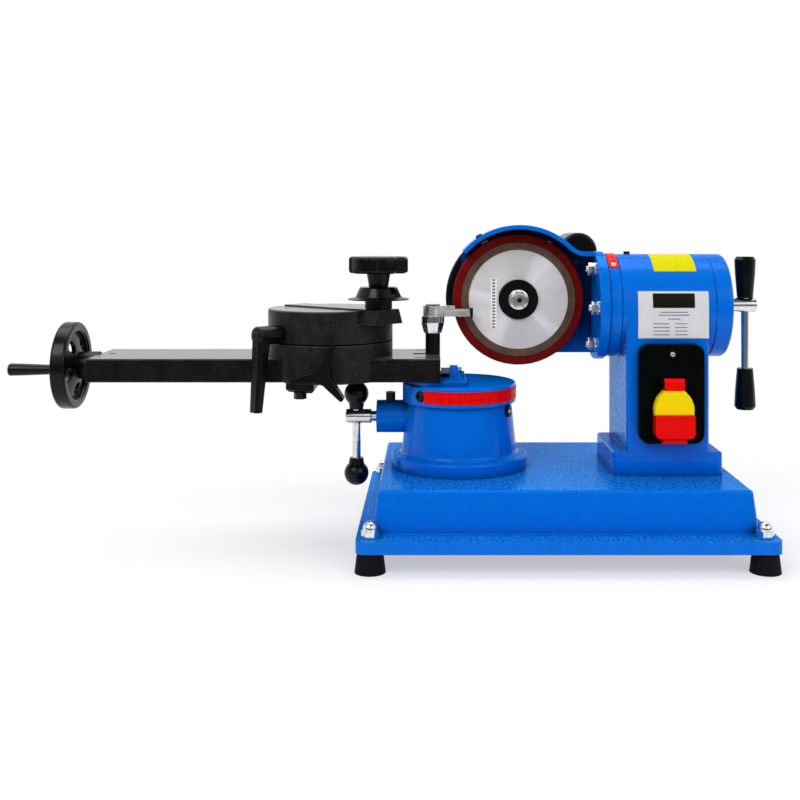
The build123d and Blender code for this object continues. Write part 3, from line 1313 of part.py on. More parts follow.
def wheel_nut():
    """Hex nut with its own washer."""
    seat = -WASHER_T - NUT_WASHER_T
    washer = post(NUT_WASHER_R, seat, -WASHER_T)
    nut = washer + Pos(0, 0, seat - NUT_H) * hexagon(NUT_AF, NUT_H)
    return on_spindle(nut - post(THREAD_R + SEAT, seat - NUT_H, -WASHER_T))


def feed_screw():
    """Feed screw of the quill with its cross-drilled hub."""
    shaft = rod(FEED_R, FEED_HUB_X - FEED_IN, FEED_HUB_X + PAST, 0, AXIS_Z)
    hub = Pos(FEED_HUB_X, 0, AXIS_Z) * cross_hub(FEED_HUB_R, FEED_HUB_L)
    drill = post(FEED_BAR_R + RUN, AXIS_Z - 2 * FEED_HUB_R, AXIS_Z + 2 * FEED_HUB_R, FEED_BAR_X)
    return shaft + hub - drill


def grip_levels():
    """Levels of the inner ends of the lower and the upper grip."""
    upper = AXIS_Z + FEED_HUB_R + FACE
    return upper - FEED_BAR_FREE, upper


def feed_bar():
    """Sliding bar of the feed handle."""
    lower, upper = grip_levels()
    return post(FEED_BAR_R, lower - GRIP_DEPTH, upper + GRIP_DEPTH, FEED_BAR_X)


def feed_grips():
    """Flared grips on the ends of the feed bar."""
    grip = turned(
        (0, 0),
        (GRIP_NECK_R, 0),
        (GRIP_BELLY_R, GRIP_BELLY_AT),
        (GRIP_R, GRIP_L - GRIP_END_L),
        (GRIP_END_R, GRIP_L),
        (0, GRIP_L),
    )
    grip -= post(FEED_BAR_R + SEAT, 0, GRIP_DEPTH + SEAT)
    lower, upper = grip_levels()
    return group(Pos(FEED_BAR_X, 0, upper) * grip, Pos(FEED_BAR_X, 0, lower) * Rot(180, 0, 0) * grip)


def on_front(sketch, level, y, depth):
    """Extrude a sketch drawn in X and Z about the switch, from y towards the operator."""
    return Pos(SW_X, y, level) * Rot(90, 0, 0) * extrude(sketch, depth)


def switch_plate():
    """Switch housing with pockets for its two buttons."""
    plate = extrude(RectangleRounded(SW_W, SW_H, SW_CORNER), SW_T)
    plate = fillet(edges_at(plate, SW_T), SW_EDGE)
    plate = Pos(SW_X, COL_FRONT, SW_Z) * Rot(90, 0, 0) * plate
    for down in (START_DOWN, STOP_DOWN):
        pocket_end = SW_FRONT + BUTTON_DEPTH + BUTTON_POCKET
        plate -= rod_y(BUTTON_R + RUN, SW_FRONT, pocket_end, SW_X, SW_Z - down)
    y, z = hinge_axis()
    inner = HINGE_W / 2 + FACE
    for side in (-1, 1):
        x0 = SW_X + side * inner
        x1 = x0 + side * HINGE_LUG_T
        plate += rod(HINGE_R, x0, x1, y, z) + block(x0, x1, y, SW_FRONT + PAST, z - HINGE_R, z + HINGE_R)
    plate += rod(PIN_R, SW_X - inner - PAST, SW_X + inner + PAST, y, z)
    return plate - switch_screw(SEAT)


def hinge_axis():
    """Place of the switch flap's hinge, as (y, z)."""
    return SW_FRONT - HINGE_OUT, SW_Z + HINGE_UP


def flap_hinge():
    """Red knuckle that carries the flap on the plate's pin."""
    y, z = hinge_axis()
    left = SW_X - HINGE_W / 2
    right = SW_X + HINGE_W / 2
    neck = block(left, right, y - HINGE_R, y + HINGE_R, z - FLAP_TOP, z)
    return neck + rod(HINGE_R, left, right, y, z) - rod(PIN_R + RUN, left, right, y, z)


def flap_low():
    """Level of the flap's lower edge."""
    return hinge_axis()[1] - FLAP_DROP


def flap_split():
    """Level where the yellow flap meets the red pad."""
    return flap_low() + PAD_SHARE_H


def switch_flap():
    """Yellow flap over the buttons, with round shoulders under its hinge."""
    height = hinge_axis()[1] - FLAP_TOP - flap_split()
    back = SW_FRONT - FLAP_GAP
    shoulders = Pos(0, -height / 2) * RectangleRounded(FLAP_W, 2 * height, FLAP_CORNER)
    face = shoulders & Rectangle(FLAP_W, height)
    flap = on_front(face, flap_split() + height / 2, back, FLAP_T)
    hollow = Rectangle(2 * (BUTTON_R + BUTTON_ROOM), height)
    return flap - on_front(hollow, flap_split() + height / 2 - FLAP_RIM, back, FLAP_HOLLOW)


def stop_pad():
    """Red pad on the lower half of the flap, with a finger tab below."""
    height = flap_split() - flap_low()
    back = SW_FRONT - FLAP_GAP
    body_h = height - PAD_TAB_H
    body = Pos(0, PAD_TAB_H / 2) * RectangleRounded(FLAP_W, body_h, PAD_CORNER)
    body += Pos(0, height / 2 - body_h / 4) * Rectangle(FLAP_W, body_h / 2)
    tab = Pos(0, -body_h / 2) * Rectangle(PAD_TAB_W, PAD_TAB_H + PAD_CORNER)
    pad = on_front(body, flap_low() + height / 2, back, FLAP_T + PAD_OUT)
    pad += on_front(tab, flap_low() + height / 2 + PAD_CORNER / 2, back, FLAP_T)
    hollow = Rectangle(2 * (BUTTON_R + BUTTON_ROOM), 2 * (BUTTON_R + 2 * BUTTON_ROOM))
    return pad - on_front(hollow, SW_Z - STOP_DOWN, back, FLAP_HOLLOW)


def button(down):
    """A round push button in the switch plate."""
    cap = rod_y(BUTTON_R, SW_FRONT - BUTTON_OUT, SW_FRONT + BUTTON_DEPTH, SW_X, SW_Z - down)
    return chamfer(cap.edges().group_by(Axis.Y)[0], BUTTON_EDGE)


def start_button():
    """Start button, under the flap."""
    return button(START_DOWN)


def stop_button():
    """Stop button, under the red pad."""
    return button(STOP_DOWN)


PIECES = (
    base_casting,
    rubber_feet,
    foot_bolts,
    acorn_nuts,
    pedestal,
    casting_bolts,
    black_screws,
    column,
    barrel_cap,
    switch_plate,
    flap_hinge,
    turntable,
    turret_nut,
    angle_scale,
    slide_arm,
    arm_bolts,
    arm_stop_bolt,
    stop_post,
    lock_screw,
    lock_bar,
    lock_knobs,
    lead_screw,
    handwheel,
    crank_pin,
    crank_grip,
    carriage,
    lead_nut,
    keeper_bar,
    keeper_bolts,
    carriage_knob,
    rotary_disc,
    slide_bar,
    blade_stud,
    centring_cone,
    star_knob,
    clamp_lever,
    finger_clamp,
    stop_finger,
    finger_tip,
    quill,
    tilt_scale,
    head_bracket,
    head_bolts,
    motor_shield,
    motor_body,
    capacitor,
    spindle,
    wheel_core,
    wheel_abrasive,
    wheel_rim,
    wheel_washer,
    wheel_nut,
    feed_screw,
    feed_bar,
    feed_grips,
    switch_flap,
    stop_pad,
    start_button,
    stop_button,
)


def origin():
    """Middle of the sharpener's outline at bench level, seen from the turret axis."""
    left = HAND_X - HAND_RIM_W - FACE - CRANK_L
    right = FEED_HUB_X + FEED_HUB_L
    front = -FLANGE_W / 2
    rear = max(FLANGE_W / 2, MOTOR_Y + MOTOR_L)
    return (left + right) / 2, (front + rear) / 2


def main():
    """Write one STEP file for each piece."""
    os.makedirs("parts", exist_ok=True)
    x, y = origin()
    for piece in PIECES:
        placed = piece().moved(Location((-x, -y, 0)))
        export_step(placed, os.path.join("parts", piece.__name__ + ".step"))


if __name__ == "__main__":
    main()
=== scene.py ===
"""Looks of a bench sharpener for circular saw blades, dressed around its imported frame.

Every length is in metres, in the frame's own axes: +X runs along the slide arm towards the column,
+Y away from the operator and +Z up from the bench.
"""

import json
import logging
import math
from dataclasses import dataclass, field, replace
from enum import Enum
from typing import Any, Optional, Sequence

import bmesh
import bpy
from mathutils import Matrix, Vector
from mathutils.bvhtree import BVHTree

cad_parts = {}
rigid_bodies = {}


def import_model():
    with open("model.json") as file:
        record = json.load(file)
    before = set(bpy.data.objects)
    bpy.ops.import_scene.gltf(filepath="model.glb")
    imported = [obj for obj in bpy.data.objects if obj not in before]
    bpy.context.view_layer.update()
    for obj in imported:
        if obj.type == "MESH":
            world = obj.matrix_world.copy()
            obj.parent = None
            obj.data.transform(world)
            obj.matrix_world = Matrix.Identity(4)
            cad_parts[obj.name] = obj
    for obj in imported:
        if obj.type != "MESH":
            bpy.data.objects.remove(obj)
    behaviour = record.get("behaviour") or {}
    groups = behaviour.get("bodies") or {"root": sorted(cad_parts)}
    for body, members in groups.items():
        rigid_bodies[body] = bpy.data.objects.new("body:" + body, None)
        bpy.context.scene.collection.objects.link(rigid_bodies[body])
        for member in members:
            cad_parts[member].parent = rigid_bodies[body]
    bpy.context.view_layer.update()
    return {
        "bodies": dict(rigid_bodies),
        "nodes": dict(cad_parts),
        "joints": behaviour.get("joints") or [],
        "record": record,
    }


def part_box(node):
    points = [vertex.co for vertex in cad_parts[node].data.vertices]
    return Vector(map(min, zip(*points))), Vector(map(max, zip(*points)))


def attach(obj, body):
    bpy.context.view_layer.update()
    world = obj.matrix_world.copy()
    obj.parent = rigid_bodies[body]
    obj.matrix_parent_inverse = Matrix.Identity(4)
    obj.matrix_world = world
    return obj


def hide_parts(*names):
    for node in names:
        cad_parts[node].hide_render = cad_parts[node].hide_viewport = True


LOG = logging.getLogger("sharpener")
MM = 0.001
SHARP_EDGE = 35.0  # degrees between two faces from which their edge looks sharp
WELD = 0.001 * MM

RIGHT = Vector((1, 0, 0))
FRONT = Vector((0, -1, 0))
BACK = Vector((0, 1, 0))
UP = Vector((0, 0, 1))

Color = tuple[float, float, float]
Span = tuple[float, float]
Foot = tuple[Vector, Vector]  # a point of a surface and the normal there
Frame = dict[str, Any]
Shape = bmesh.types.BMesh
Socket = bpy.types.NodeSocket

FULL: Span = (0.0, 1.0)
NOISE_SPAN: Span = (0.3, 0.7)  # values of soft noise between which a look changes
EDGE_SPAN: Span = (0.995, 0.8)  # cosines between true and rounded normal
GRAZING_SPAN: Span = (0.45, 0.8)
OPEN_SPAN: Span = (0.25, 0.8)


def srgb(red: int, green: int, blue: int) -> Color:
    """Turn a screen colour into the linear colour that shaders take.

    Args:
        red: Red from 0 to 255.
        green: Green from 0 to 255.
        blue: Blue from 0 to 255.

    Returns:
        The colour in linear light.
    """
    parts = []
    for part in (red, green, blue):
        share = part / 255
        parts.append(share / 12.92 if share <= 0.04045 else ((share + 0.055) / 1.055) ** 2.4)
    return parts[0], parts[1], parts[2]


def shade(color: Color, share: float) -> Color:
    """Make a colour lighter or darker.

    Args:
        color: The colour in linear light.
        share: How much of its light stays.

    Returns:
        The changed colour.
    """
    return color[0] * share, color[1] * share, color[2] * share


class Facing(Enum):
    """Ways that a face can look: an axis, and where along it the mark starts and is full."""

    UP = ("Z", 0.6, 0.95)
    # faces to the left get the enamel's painted sheen
    LEFT = ("X", -0.75, -0.98)


class Graph:
    """The nodes of a material or of the surroundings, and short ways to add to them."""

    def __init__(self, owner: Any, output: str = "ShaderNodeOutputMaterial") -> None:
        """Start empty.

        Args:
            owner: The material or world that holds the nodes.
            output: Type of the output node.
        """
        owner.use_nodes = True
        self.tree = owner.node_tree
        self.tree.nodes.clear()
        self.output = self.add(output)

    def join(self, source: Any, target: Socket) -> None:
        """Link an output to an input, or set the input.

        Args:
            source: An output, or the number, vector or colour that the input takes.
            target: The input.
        """
        if isinstance(source, bpy.types.NodeSocket):
            self.tree.links.new(source, target)
        elif target.type == "RGBA":
            target.default_value = (*source, 1.0)
        else:
            target.default_value = source

    def add(self, kind: str, inputs: Optional[dict[Any, Any]] = None, **settings: Any) -> bpy.types.Node:
        """Add a node.

        Args:
            kind: The node's type.
            inputs: Outputs or values for its inputs, by name or number.
            settings: Attributes of the node.

        Returns:
            The new node.
        """
        node = self.tree.nodes.new(kind)
        for key, value in settings.items():
            setattr(node, key, value)
        for key, value in (inputs or {}).items():
            self.join(value, node.inputs[key])
        return node

    def place(self, stretch: Sequence[float] = (1.0, 1.0, 1.0)) -> Socket:
        """Give a point's place on its piece, in metres.

        Args:
            stretch: Factors along X, Y and Z.

        Returns:
            A vector output.
        """
        where = self.add("ShaderNodeTexCoord").outputs["Object"]
        return self.add("ShaderNodeMapping", {"Vector": where, "Scale": stretch}).outputs["Vector"]

    def noise(self, scale: float, detail: float, stretch: Sequence[float] = (1.0, 1.0, 1.0)) -> Socket:
        """Add soft noise.

        Args:
            scale: Noise cells per metre.
            detail: How many finer layers it has.
            stretch: Factors along X, Y and Z.

        Returns:
            A value output from 0 to 1.
        """
        inputs = {"Vector": self.place(stretch), "Scale": scale, "Detail": detail}
        return self.add("ShaderNodeTexNoise", inputs).outputs["Fac"]

    def cells(self, scale: float) -> Socket:
        """Add a cell pattern.

        Args:
            scale: Cells per metre.

        Returns:
            A value output, the distance to the nearest cell's middle.
        """
        return self.add("ShaderNodeTexVoronoi", {"Vector": self.place(), "Scale": scale}).outputs["Distance"]

    def vectors(self, operation: str, first: Any, second: Any = (0.0, 0.0, 0.0)) -> Socket:
        """Join two vectors by arithmetic.

        Args:
            operation: Name of the arithmetic.
            first: A vector or an output.
            second: A vector or an output.

        Returns:
            A value output for a distance or a dot product, otherwise a vector output.
        """
        node = self.add("ShaderNodeVectorMath", {0: first, 1: second}, operation=operation)
        return node.outputs["Value" if operation in ("DISTANCE", "DOT_PRODUCT") else "Vector"]

    def around(self, axis: Vector, middle: Vector) -> Socket:
        """Give a point's distance from an axis.

        Args:
            axis: Unit vector along the axis.
            middle: A point of the axis.

        Returns:
            A value output, in metres.
        """
        away = self.vectors("SUBTRACT", self.place(), middle)
        return self.vectors("DISTANCE", away, self.vectors("PROJECT", away, axis))

    def sum(self, operation: str, first: Any, second: Any) -> Socket:
        """Join two values by arithmetic.

        Args:
            operation: Name of the arithmetic.
            first: A value or an output.
            second: A value or an output.

        Returns:
            A value output.
        """
        return self.add("ShaderNodeMath", {0: first, 1: second}, operation=operation).outputs["Value"]

    def fade(self, value: Socket, span: Span, start: float = 0.0, end: float = 1.0) -> Socket:
        """Map a range of a value to another range, smoothly.

        Args:
            value: The value.
            span: Where the change starts and ends.
            start: Result at the span's start.
            end: Result at its end.

        Returns:
            A value output.
        """
        inputs = {"Value": value, "From Min": span[0], "From Max": span[1], "To Min": start, "To Max": end}
        return self.add("ShaderNodeMapRange", inputs, interpolation_type="SMOOTHSTEP").outputs["Result"]

    def blend(self, share: Socket, first: Any, second: Any) -> Socket:
        """Mix two colours.

        Args:
            share: How much of the second shows.
            first: A colour or an output.
            second: A colour or an output.

        Returns:
            A colour output.
        """
        return self.add("ShaderNodeMix", {"Factor": share, 6: first, 7: second}, data_type="RGBA").outputs[2]

    def pick(self, share: Socket, first: Any, second: Any) -> Socket:
        """Go from one value to another.

        Args:
            share: How much of the second counts.
            first: A value or an output.
            second: A value or an output.

        Returns:
            A value output.
        """
        inputs = {"Factor": share, "A": first, "B": second}
        return self.add("ShaderNodeMix", inputs, data_type="FLOAT").outputs["Result"]

    def rounded(self, radius: float) -> Socket:
        """Give the normal of a surface whose edges are rounded.

        Args:
            radius: Radius of the edges.

        Returns:
            A normal output.
        """
        return self.add("ShaderNodeBevel", {"Radius": radius}, samples=4).outputs["Normal"]

    def edges(self, normal: Socket) -> Socket:
        """Mark the edges of a piece.

        Args:
            normal: The rounded normal.

        Returns:
            A value output, 0 on flat places and towards 1 on edges.
        """
        true = self.add("ShaderNodeNewGeometry").outputs["True Normal"]
        return self.fade(self.vectors("DOT_PRODUCT", normal, true), EDGE_SPAN)

    def facing(self, way: Facing) -> Socket:
        """Mark faces that look one way.

        Args:
            way: The way.

        Returns:
            A value output, 1 on faces that look that way and 0 on others.
        """
        axis, start, full = way.value
        normal = self.add("ShaderNodeNewGeometry").outputs["Normal"]
        return self.fade(self.add("ShaderNodeSeparateXYZ", {0: normal}).outputs[axis], (start, full))

    def grazing(self) -> Socket:
        """Mark what is seen at a flat angle.

        Returns:
            A value output, 0 head-on and 1 edge-on.
        """
        return self.fade(self.add("ShaderNodeLayerWeight").outputs["Facing"], GRAZING_SPAN)

    def crevices(self, reach: float) -> Socket:
        """Mark the places that lie close to other surfaces.

        Args:
            reach: How far away a surface still counts.

        Returns:
            A value output, 1 in deep crevices and 0 in the open.
        """
        node = self.add("ShaderNodeAmbientOcclusion", {"Distance": reach}, samples=6)
        return self.fade(node.outputs["AO"], OPEN_SPAN, 1.0, 0.0)

    def bump(self, height: Socket, depth: float, strength: float, normal: Socket) -> Socket:
        """Roughen a surface.

        Args:
            height: Height from 0 to 1.
            depth: What a height of 1 stands for, in metres.
            strength: Share of the effect.
            normal: The normal to roughen.

        Returns:
            A normal output.
        """
        inputs = {"Height": height, "Distance": depth, "Strength": strength, "Normal": normal}
        return self.add("ShaderNodeBump", inputs).outputs["Normal"]

    def surface(self, inputs: dict[str, Any]) -> None:
        """Finish the material with a shader.

        Args:
            inputs: Inputs of the shader by name: numbers, colours or outputs.
        """
        shader = self.add("ShaderNodeBsdfPrincipled", inputs)
        self.join(shader.outputs[0], self.output.inputs["Surface"])


@dataclass(frozen=True)
class Finish:
    """Base of every finish."""

    name: str
    color: Color
    roughness: float
    edge: float = 0.5 * MM

    def material(self) -> bpy.types.Material:
        """Make the finish's material, once.

        Returns:
            The material.
        """
        made = bpy.data.materials.get(self.name)
        if made is None:
            made = bpy.data.materials.new(self.name)
            self.dress(Graph(made))
        return made

    def dress(self, graph: Graph) -> None:
        """Fill the material's nodes.

        Args:
            graph: The nodes.
        """
        raise NotImplementedError

    def toned(self, graph: Graph, share: Socket, tones: Span) -> Socket:
        """Go from one tone of the finish's colour to another.

        Args:
            graph: The material's nodes.
            share: How much of the second tone shows.
            tones: Shares of the colour's light.

        Returns:
            A colour output.
        """
        return graph.blend(share, shade(self.color, tones[0]), shade(self.color, tones[1]))

    def uneven(
        self, graph: Graph, pattern: Socket, shares: Span = (0.85, 1.2), span: Span = NOISE_SPAN
    ) -> Socket:
        """Let a pattern vary the roughness.

        Args:
            graph: The material's nodes.
            pattern: The pattern.
            shares: Shares of the finish's roughness.
            span: Values of the pattern between which it changes.

        Returns:
            A value output.
        """
        return graph.fade(pattern, span, self.roughness * shares[0], self.roughness * shares[1])


@dataclass(frozen=True)
class Enamel(Finish):
    """Gloss enamel over a casting, pebbled and flaked with metal where a face looks up or to the left, with a
    painted sheen there that is strongest at a flat angle, painted shade in deep crevices, and edges partly
    abraded and partly painted highlight.
    """

    pebble: float = 2.4 * MM
    pebble_depth: float = 0.35 * MM
    pebble_span: Span = (0.44, 0.6)
    plain_depth: float = 0.25  # share of the pebbles' depth on the other faces
    bump: float = 0.55
    clouds: float = 0.35  # patches of tone per pebble
    tones: Span = (0.96, 1.03)
    speckle: float = 0.85  # share of the painted sheen on specks seen at a flat angle
    head_on: float = 0.2  # share of the painted sheen on specks seen head-on
    # tone of the painted sheen and edge highlight; it also tints the reflections
    pale: Color = (0.04, 0.52, 0.95)
    pale_share: float = 0.6  # share of the painted light tone in the sheen and on the edges
    # share of the painted light tone on abraded edges: partly abrasion, partly painted highlight
    worn: float = 0.55
    worn_span: Span = (0.5, 0.66)
    # how far the painted shade in crevices reaches
    crevice: float = 14.0 * MM
    soil: float = 0.12  # tone of the painted shade in deep crevices
    gloss: Span = (0.75, 1.35)
    coat: float = 0.16
    coat_roughness: float = 0.05
    edge_coat: float = 0.8
    specular: float = 0.09
    level_share: float = 1.0  # how strongly level faces get the painted sheen and the metal flakes
    level_roughness: float = 0.15
    level_flakes: float = 0.34
    level_specular: float = 0.008

    def dress(self, graph: Graph) -> None:
        """Fill the material's nodes.

        Args:
            graph: The nodes.
        """
        normal = graph.rounded(self.edge)
        edges = graph.edges(normal)
        up = graph.facing(Facing.UP)
        left = graph.facing(Facing.LEFT)
        broad = graph.sum("MAXIMUM", up, left)
        flat = graph.sum("MAXIMUM", graph.sum("MULTIPLY", up, self.level_share), left)
        pebbles = graph.noise(1 / self.pebble, detail=2.0)
        clouds = graph.noise(self.clouds / self.pebble, detail=4.0)
        # painted sheen: paler specks on faces that look up or to the left, stronger where seen at a flat
        # angle
        spots = graph.sum("MULTIPLY", graph.fade(pebbles, self.pebble_span), flat)
        seen = graph.fade(graph.grazing(), FULL, self.head_on, self.speckle)
        painted_light = tuple((1 - self.pale_share) * a + self.pale_share * b for a, b in zip(self.color, self.pale))
        tint = self.toned(graph, graph.fade(clouds, NOISE_SPAN), self.tones)
        sheened = graph.blend(graph.sum("MULTIPLY", spots, seen), tint, painted_light)
        # painted shade: darker where other surfaces lie close
        shaded = graph.blend(graph.crevices(self.crevice), sheened, shade(self.color, self.soil))
        # edges take the painted light tone: partly abrasion, partly painted highlight
        worn = graph.sum("MULTIPLY", edges, graph.fade(clouds, self.worn_span, 0.0, self.worn))
        raised = graph.sum("MULTIPLY", broad, 1 - self.plain_depth)
        height = graph.sum("MULTIPLY", pebbles, graph.sum("ADD", raised, self.plain_depth))
        coat = graph.fade(broad, FULL, self.coat, 0.0)
        graph.surface(
            {
                "Base Color": graph.blend(worn, shaded, painted_light),
                "Roughness": graph.pick(broad, self.uneven(graph, pebbles, self.gloss), self.level_roughness),
                "Normal": graph.bump(height, self.pebble_depth, self.bump, normal),
                "Coat Weight": graph.pick(edges, coat, self.edge_coat),
                "Coat Roughness": self.coat_roughness,
                "Metallic": graph.sum("MULTIPLY", flat, self.level_flakes),
                "Specular Tint": self.pale,
                "Specular IOR Level": graph.pick(broad, self.specular, self.level_specular),
            }
        )


@dataclass(frozen=True)
class MouldedPlastic(Finish):
    """Moulded plastic with a fine grain and paler edges, partly polished and partly painted highlight."""

    grain: float = 0.45 * MM
    grain_depth: float = 0.02 * MM
    bump: float = 0.6
    patches: float = 45.0  # per metre
    mottle: float = 0.1
    polish: float = 1.25  # tone of the edges: partly polished, partly painted highlight
    specular: float = 0.2

    def dress(self, graph: Graph) -> None:
        """Fill the material's nodes.

        Args:
            graph: The nodes.
        """
        normal = graph.rounded(self.edge)
        grain = graph.noise(1 / self.grain, detail=2.0)
        patches = graph.noise(self.patches, detail=4.0)
        tint = self.toned(graph, graph.fade(patches, NOISE_SPAN), (1 - self.mottle, 1 + self.mottle))
        # paler edges: partly polished, partly painted highlight
        graph.surface(
            {
                "Base Color": graph.blend(graph.edges(normal), tint, shade(self.color, self.polish)),
                "Roughness": self.uneven(graph, patches),
                "Normal": graph.bump(grain, self.grain_depth, self.bump, normal),
                "Specular IOR Level": self.specular,
            }
        )


@dataclass(frozen=True)
class BlackenedSteel(Finish):
    """Oil-blackened steel: a dull skin with fine specks, edges that are partly bare and partly painted
    highlight, and painted light that makes it paler where it lies level.
    """

    mottles: float = 70.0  # per metre
    mottle_span: Span = (0.35, 0.65)
    tones: Span = (0.8, 1.25)
    speck: Color = (0.055, 0.052, 0.048)
    speck_size: float = 0.9 * MM
    speck_depth: float = 0.03 * MM
    speck_span: Span = (0.56, 0.72)
    speck_share: float = 0.7
    bump: float = 0.7
    # tone of the edges: partly bare steel, partly painted highlight
    bare: Color = (0.30, 0.29, 0.28)
    rubbed: float = 0.18
    rubbed_least: float = 0.1
    rubbed_span: Span = (0.42, 0.62)
    metallic: float = 0.15
    specular: float = 0.25
    # tone of the painted light on faces that look up
    level_light: Color = (0.1, 0.1, 0.1)
    level_tone: float = 0.6
    level_roughness: float = 0.24
    level_specular: float = 0.6

    def dress(self, graph: Graph) -> None:
        """Fill the material's nodes.

        Args:
            graph: The nodes.
        """
        normal = graph.rounded(self.edge)
        up = graph.facing(Facing.UP)
        mottle = graph.noise(self.mottles, detail=5.0)
        specks = graph.noise(1 / self.speck_size, detail=3.0)
        tint = self.toned(graph, graph.fade(mottle, self.mottle_span), self.tones)
        flecked = graph.blend(graph.fade(specks, self.speck_span, 0.0, self.speck_share), tint, self.speck)
        # painted light: a paler tone on faces that look up
        level = graph.blend(specks, self.level_light, shade(self.level_light, self.level_tone))
        # paler edges: partly bare steel, partly painted highlight
        rubbed = graph.fade(mottle, self.rubbed_span, self.rubbed_least, self.rubbed)
        edge_glint_and_wear = graph.sum("MULTIPLY", graph.edges(normal), rubbed)
        graph.surface(
            {
                "Base Color": graph.blend(edge_glint_and_wear, graph.blend(up, flecked, level), self.bare),
                "Metallic": self.metallic,
                "Roughness": graph.pick(up, self.uneven(graph, mottle), self.level_roughness),
                "Normal": graph.bump(specks, self.speck_depth, self.bump, normal),
                "Specular IOR Level": graph.pick(up, self.specular, self.level_specular),
            }
        )


@dataclass(frozen=True)
class BrightMetal(Finish):
    """Plated or ground bright metal with fine scratches and a few dull patches."""

    scratches: tuple[float, float, float] = (900.0, 900.0, 40.0)  # per metre along X, Y and Z
    scratch_depth: float = 0.006 * MM
    bump: float = 0.25
    patches: float = 160.0  # per metre
    patch_span: Span = (0.35, 0.7)
    patch_tone: float = 0.86
    rough: Span = (0.8, 1.4)
    rough_span: Span = (0.3, 0.75)

    def dress(self, graph: Graph) -> None:
        """Fill the material's nodes.

        Args:
            graph: The nodes.
        """
        normal = graph.rounded(self.edge)
        lines = graph.noise(1.0, detail=3.0, stretch=self.scratches)
        dull = graph.noise(self.patches, detail=4.0)
        graph.surface(
            {
                "Base Color": self.toned(graph, graph.fade(dull, self.patch_span), (1.0, self.patch_tone)),
                "Metallic": 1.0,
                "Roughness": self.uneven(graph, dull, self.rough, self.rough_span),
                "Normal": graph.bump(lines, self.scratch_depth, self.bump, normal),
            }
        )


@dataclass(frozen=True)
class TurnedMetal(Finish):
    """Metal faced on a lathe, with fine rings about an axis along Y and painted glints in fixed wedges about
    it.
    """

    middle: tuple[float, float, float] = (0.0, 0.0, 0.0)
    ring: float = 0.35 * MM
    ring_depth: float = 0.004 * MM
    ring_tone: float = 0.92
    bump: float = 0.6
    # colour of the painted glints, and the turns and widths of the wedges that carry them
    glint: Color = (1.0, 0.985, 0.975)
    glint_turns: tuple[float, ...] = (58.0, 176.0, 238.0, 318.0)
    glint_widths: tuple[float, ...] = (17.0, 12.0, 15.0, 10.0)
    glint_span: Span = (0.25, 0.75)
    glint_least: float = 0.7
    smudges: float = 60.0  # per metre
    smudge_span: Span = (0.45, 0.75)
    smudge_share: float = 0.35
    smudge_tone: float = 0.72
    metallic: float = 0.35
    anisotropy: float = 0.8

    def wedges(self, graph: Graph) -> Socket:
        """Mark the fixed wedges that get the painted glints of the turned rings.

        Args:
            graph: The material's nodes.

        Returns:
            A value output from 0 to 1.
        """
        away = graph.vectors("SUBTRACT", graph.place(), self.middle)
        ray = graph.vectors("NORMALIZE", graph.vectors("MULTIPLY", away, (1.0, 0.0, 1.0)))
        total: Any = 0.0
        for turn, width in zip(self.glint_turns, self.glint_widths):
            angle = math.radians(turn)
            near = graph.vectors("DOT_PRODUCT", ray, (math.cos(angle), 0.0, math.sin(angle)))
            total = graph.sum("MAXIMUM", graph.fade(near, (math.cos(math.radians(width)), 1.0)), total)
        return total

    def dress(self, graph: Graph) -> None:
        """Fill the material's nodes.

        Args:
            graph: The nodes.
        """
        normal = graph.rounded(self.edge)
        inputs = {"W": graph.around(BACK, Vector(self.middle)), "Scale": 1 / self.ring, "Detail": 4.0}
        rings = graph.add("ShaderNodeTexNoise", inputs, noise_dimensions="1D").outputs["Fac"]
        smudge = graph.noise(self.smudges, detail=4.0)
        tangent = graph.add("ShaderNodeTangent", direction_type="RADIAL", axis="Y")
        tint = self.toned(graph, graph.fade(rings, NOISE_SPAN), (self.ring_tone, 1.0))
        ringed = graph.fade(rings, self.glint_span, self.glint_least, 1.0)
        # painted glints in the wedges, varying with the rings
        glinting = graph.blend(graph.sum("MULTIPLY", self.wedges(graph), ringed), tint, self.glint)
        smudged = graph.fade(smudge, self.smudge_span, 0.0, self.smudge_share)
        graph.surface(
            {
                "Base Color": graph.blend(smudged, glinting, shade(self.color, self.smudge_tone)),
                "Metallic": self.metallic,
                "Roughness": self.uneven(graph, smudge),
                "Anisotropic": self.anisotropy,
                "Tangent": tangent.outputs["Tangent"],
                "Normal": graph.bump(rings, self.ring_depth, self.bump, normal),
            }
        )


@dataclass(frozen=True)
class Grit(Finish):
    """Bonded grains of an abrasive or of a pressed resin."""

    grain: float = 0.55 * MM
    grain_depth: float = 0.12 * MM
    grain_span: Span = (0.25, 0.7)
    grain_share: float = 0.5
    grain_tone: float = 0.45
    bump: float = 0.5
    clouds: float = 110.0  # per metre
    cloud_span: Span = (0.35, 0.65)
    tones: Span = (0.8, 1.15)
    light: Color = (0.3, 0.22, 0.15)
    light_share: float = 0.55
    light_span: Span = (0.55, 0.72)
    lights: float = 1.6  # light flecks per grain
    specular: float = 0.1

    def dress(self, graph: Graph) -> None:
        """Fill the material's nodes.

        Args:
            graph: The nodes.
        """
        normal = graph.rounded(self.edge)
        grains = graph.cells(1 / self.grain)
        clouds = graph.noise(self.clouds, detail=4.0)
        fine = graph.noise(self.lights / self.grain, detail=2.0)
        tint = self.toned(graph, graph.fade(clouds, self.cloud_span), self.tones)
        flecked = graph.blend(graph.fade(fine, self.light_span, 0.0, self.light_share), tint, self.light)
        between = graph.fade(grains, self.grain_span, 0.0, self.grain_share)
        graph.surface(
            {
                "Base Color": graph.blend(between, flecked, shade(self.color, self.grain_tone)),
                "Roughness": self.roughness,
                "Normal": graph.bump(grains, self.grain_depth, self.bump, normal),
                "Specular IOR Level": self.specular,
            }
        )


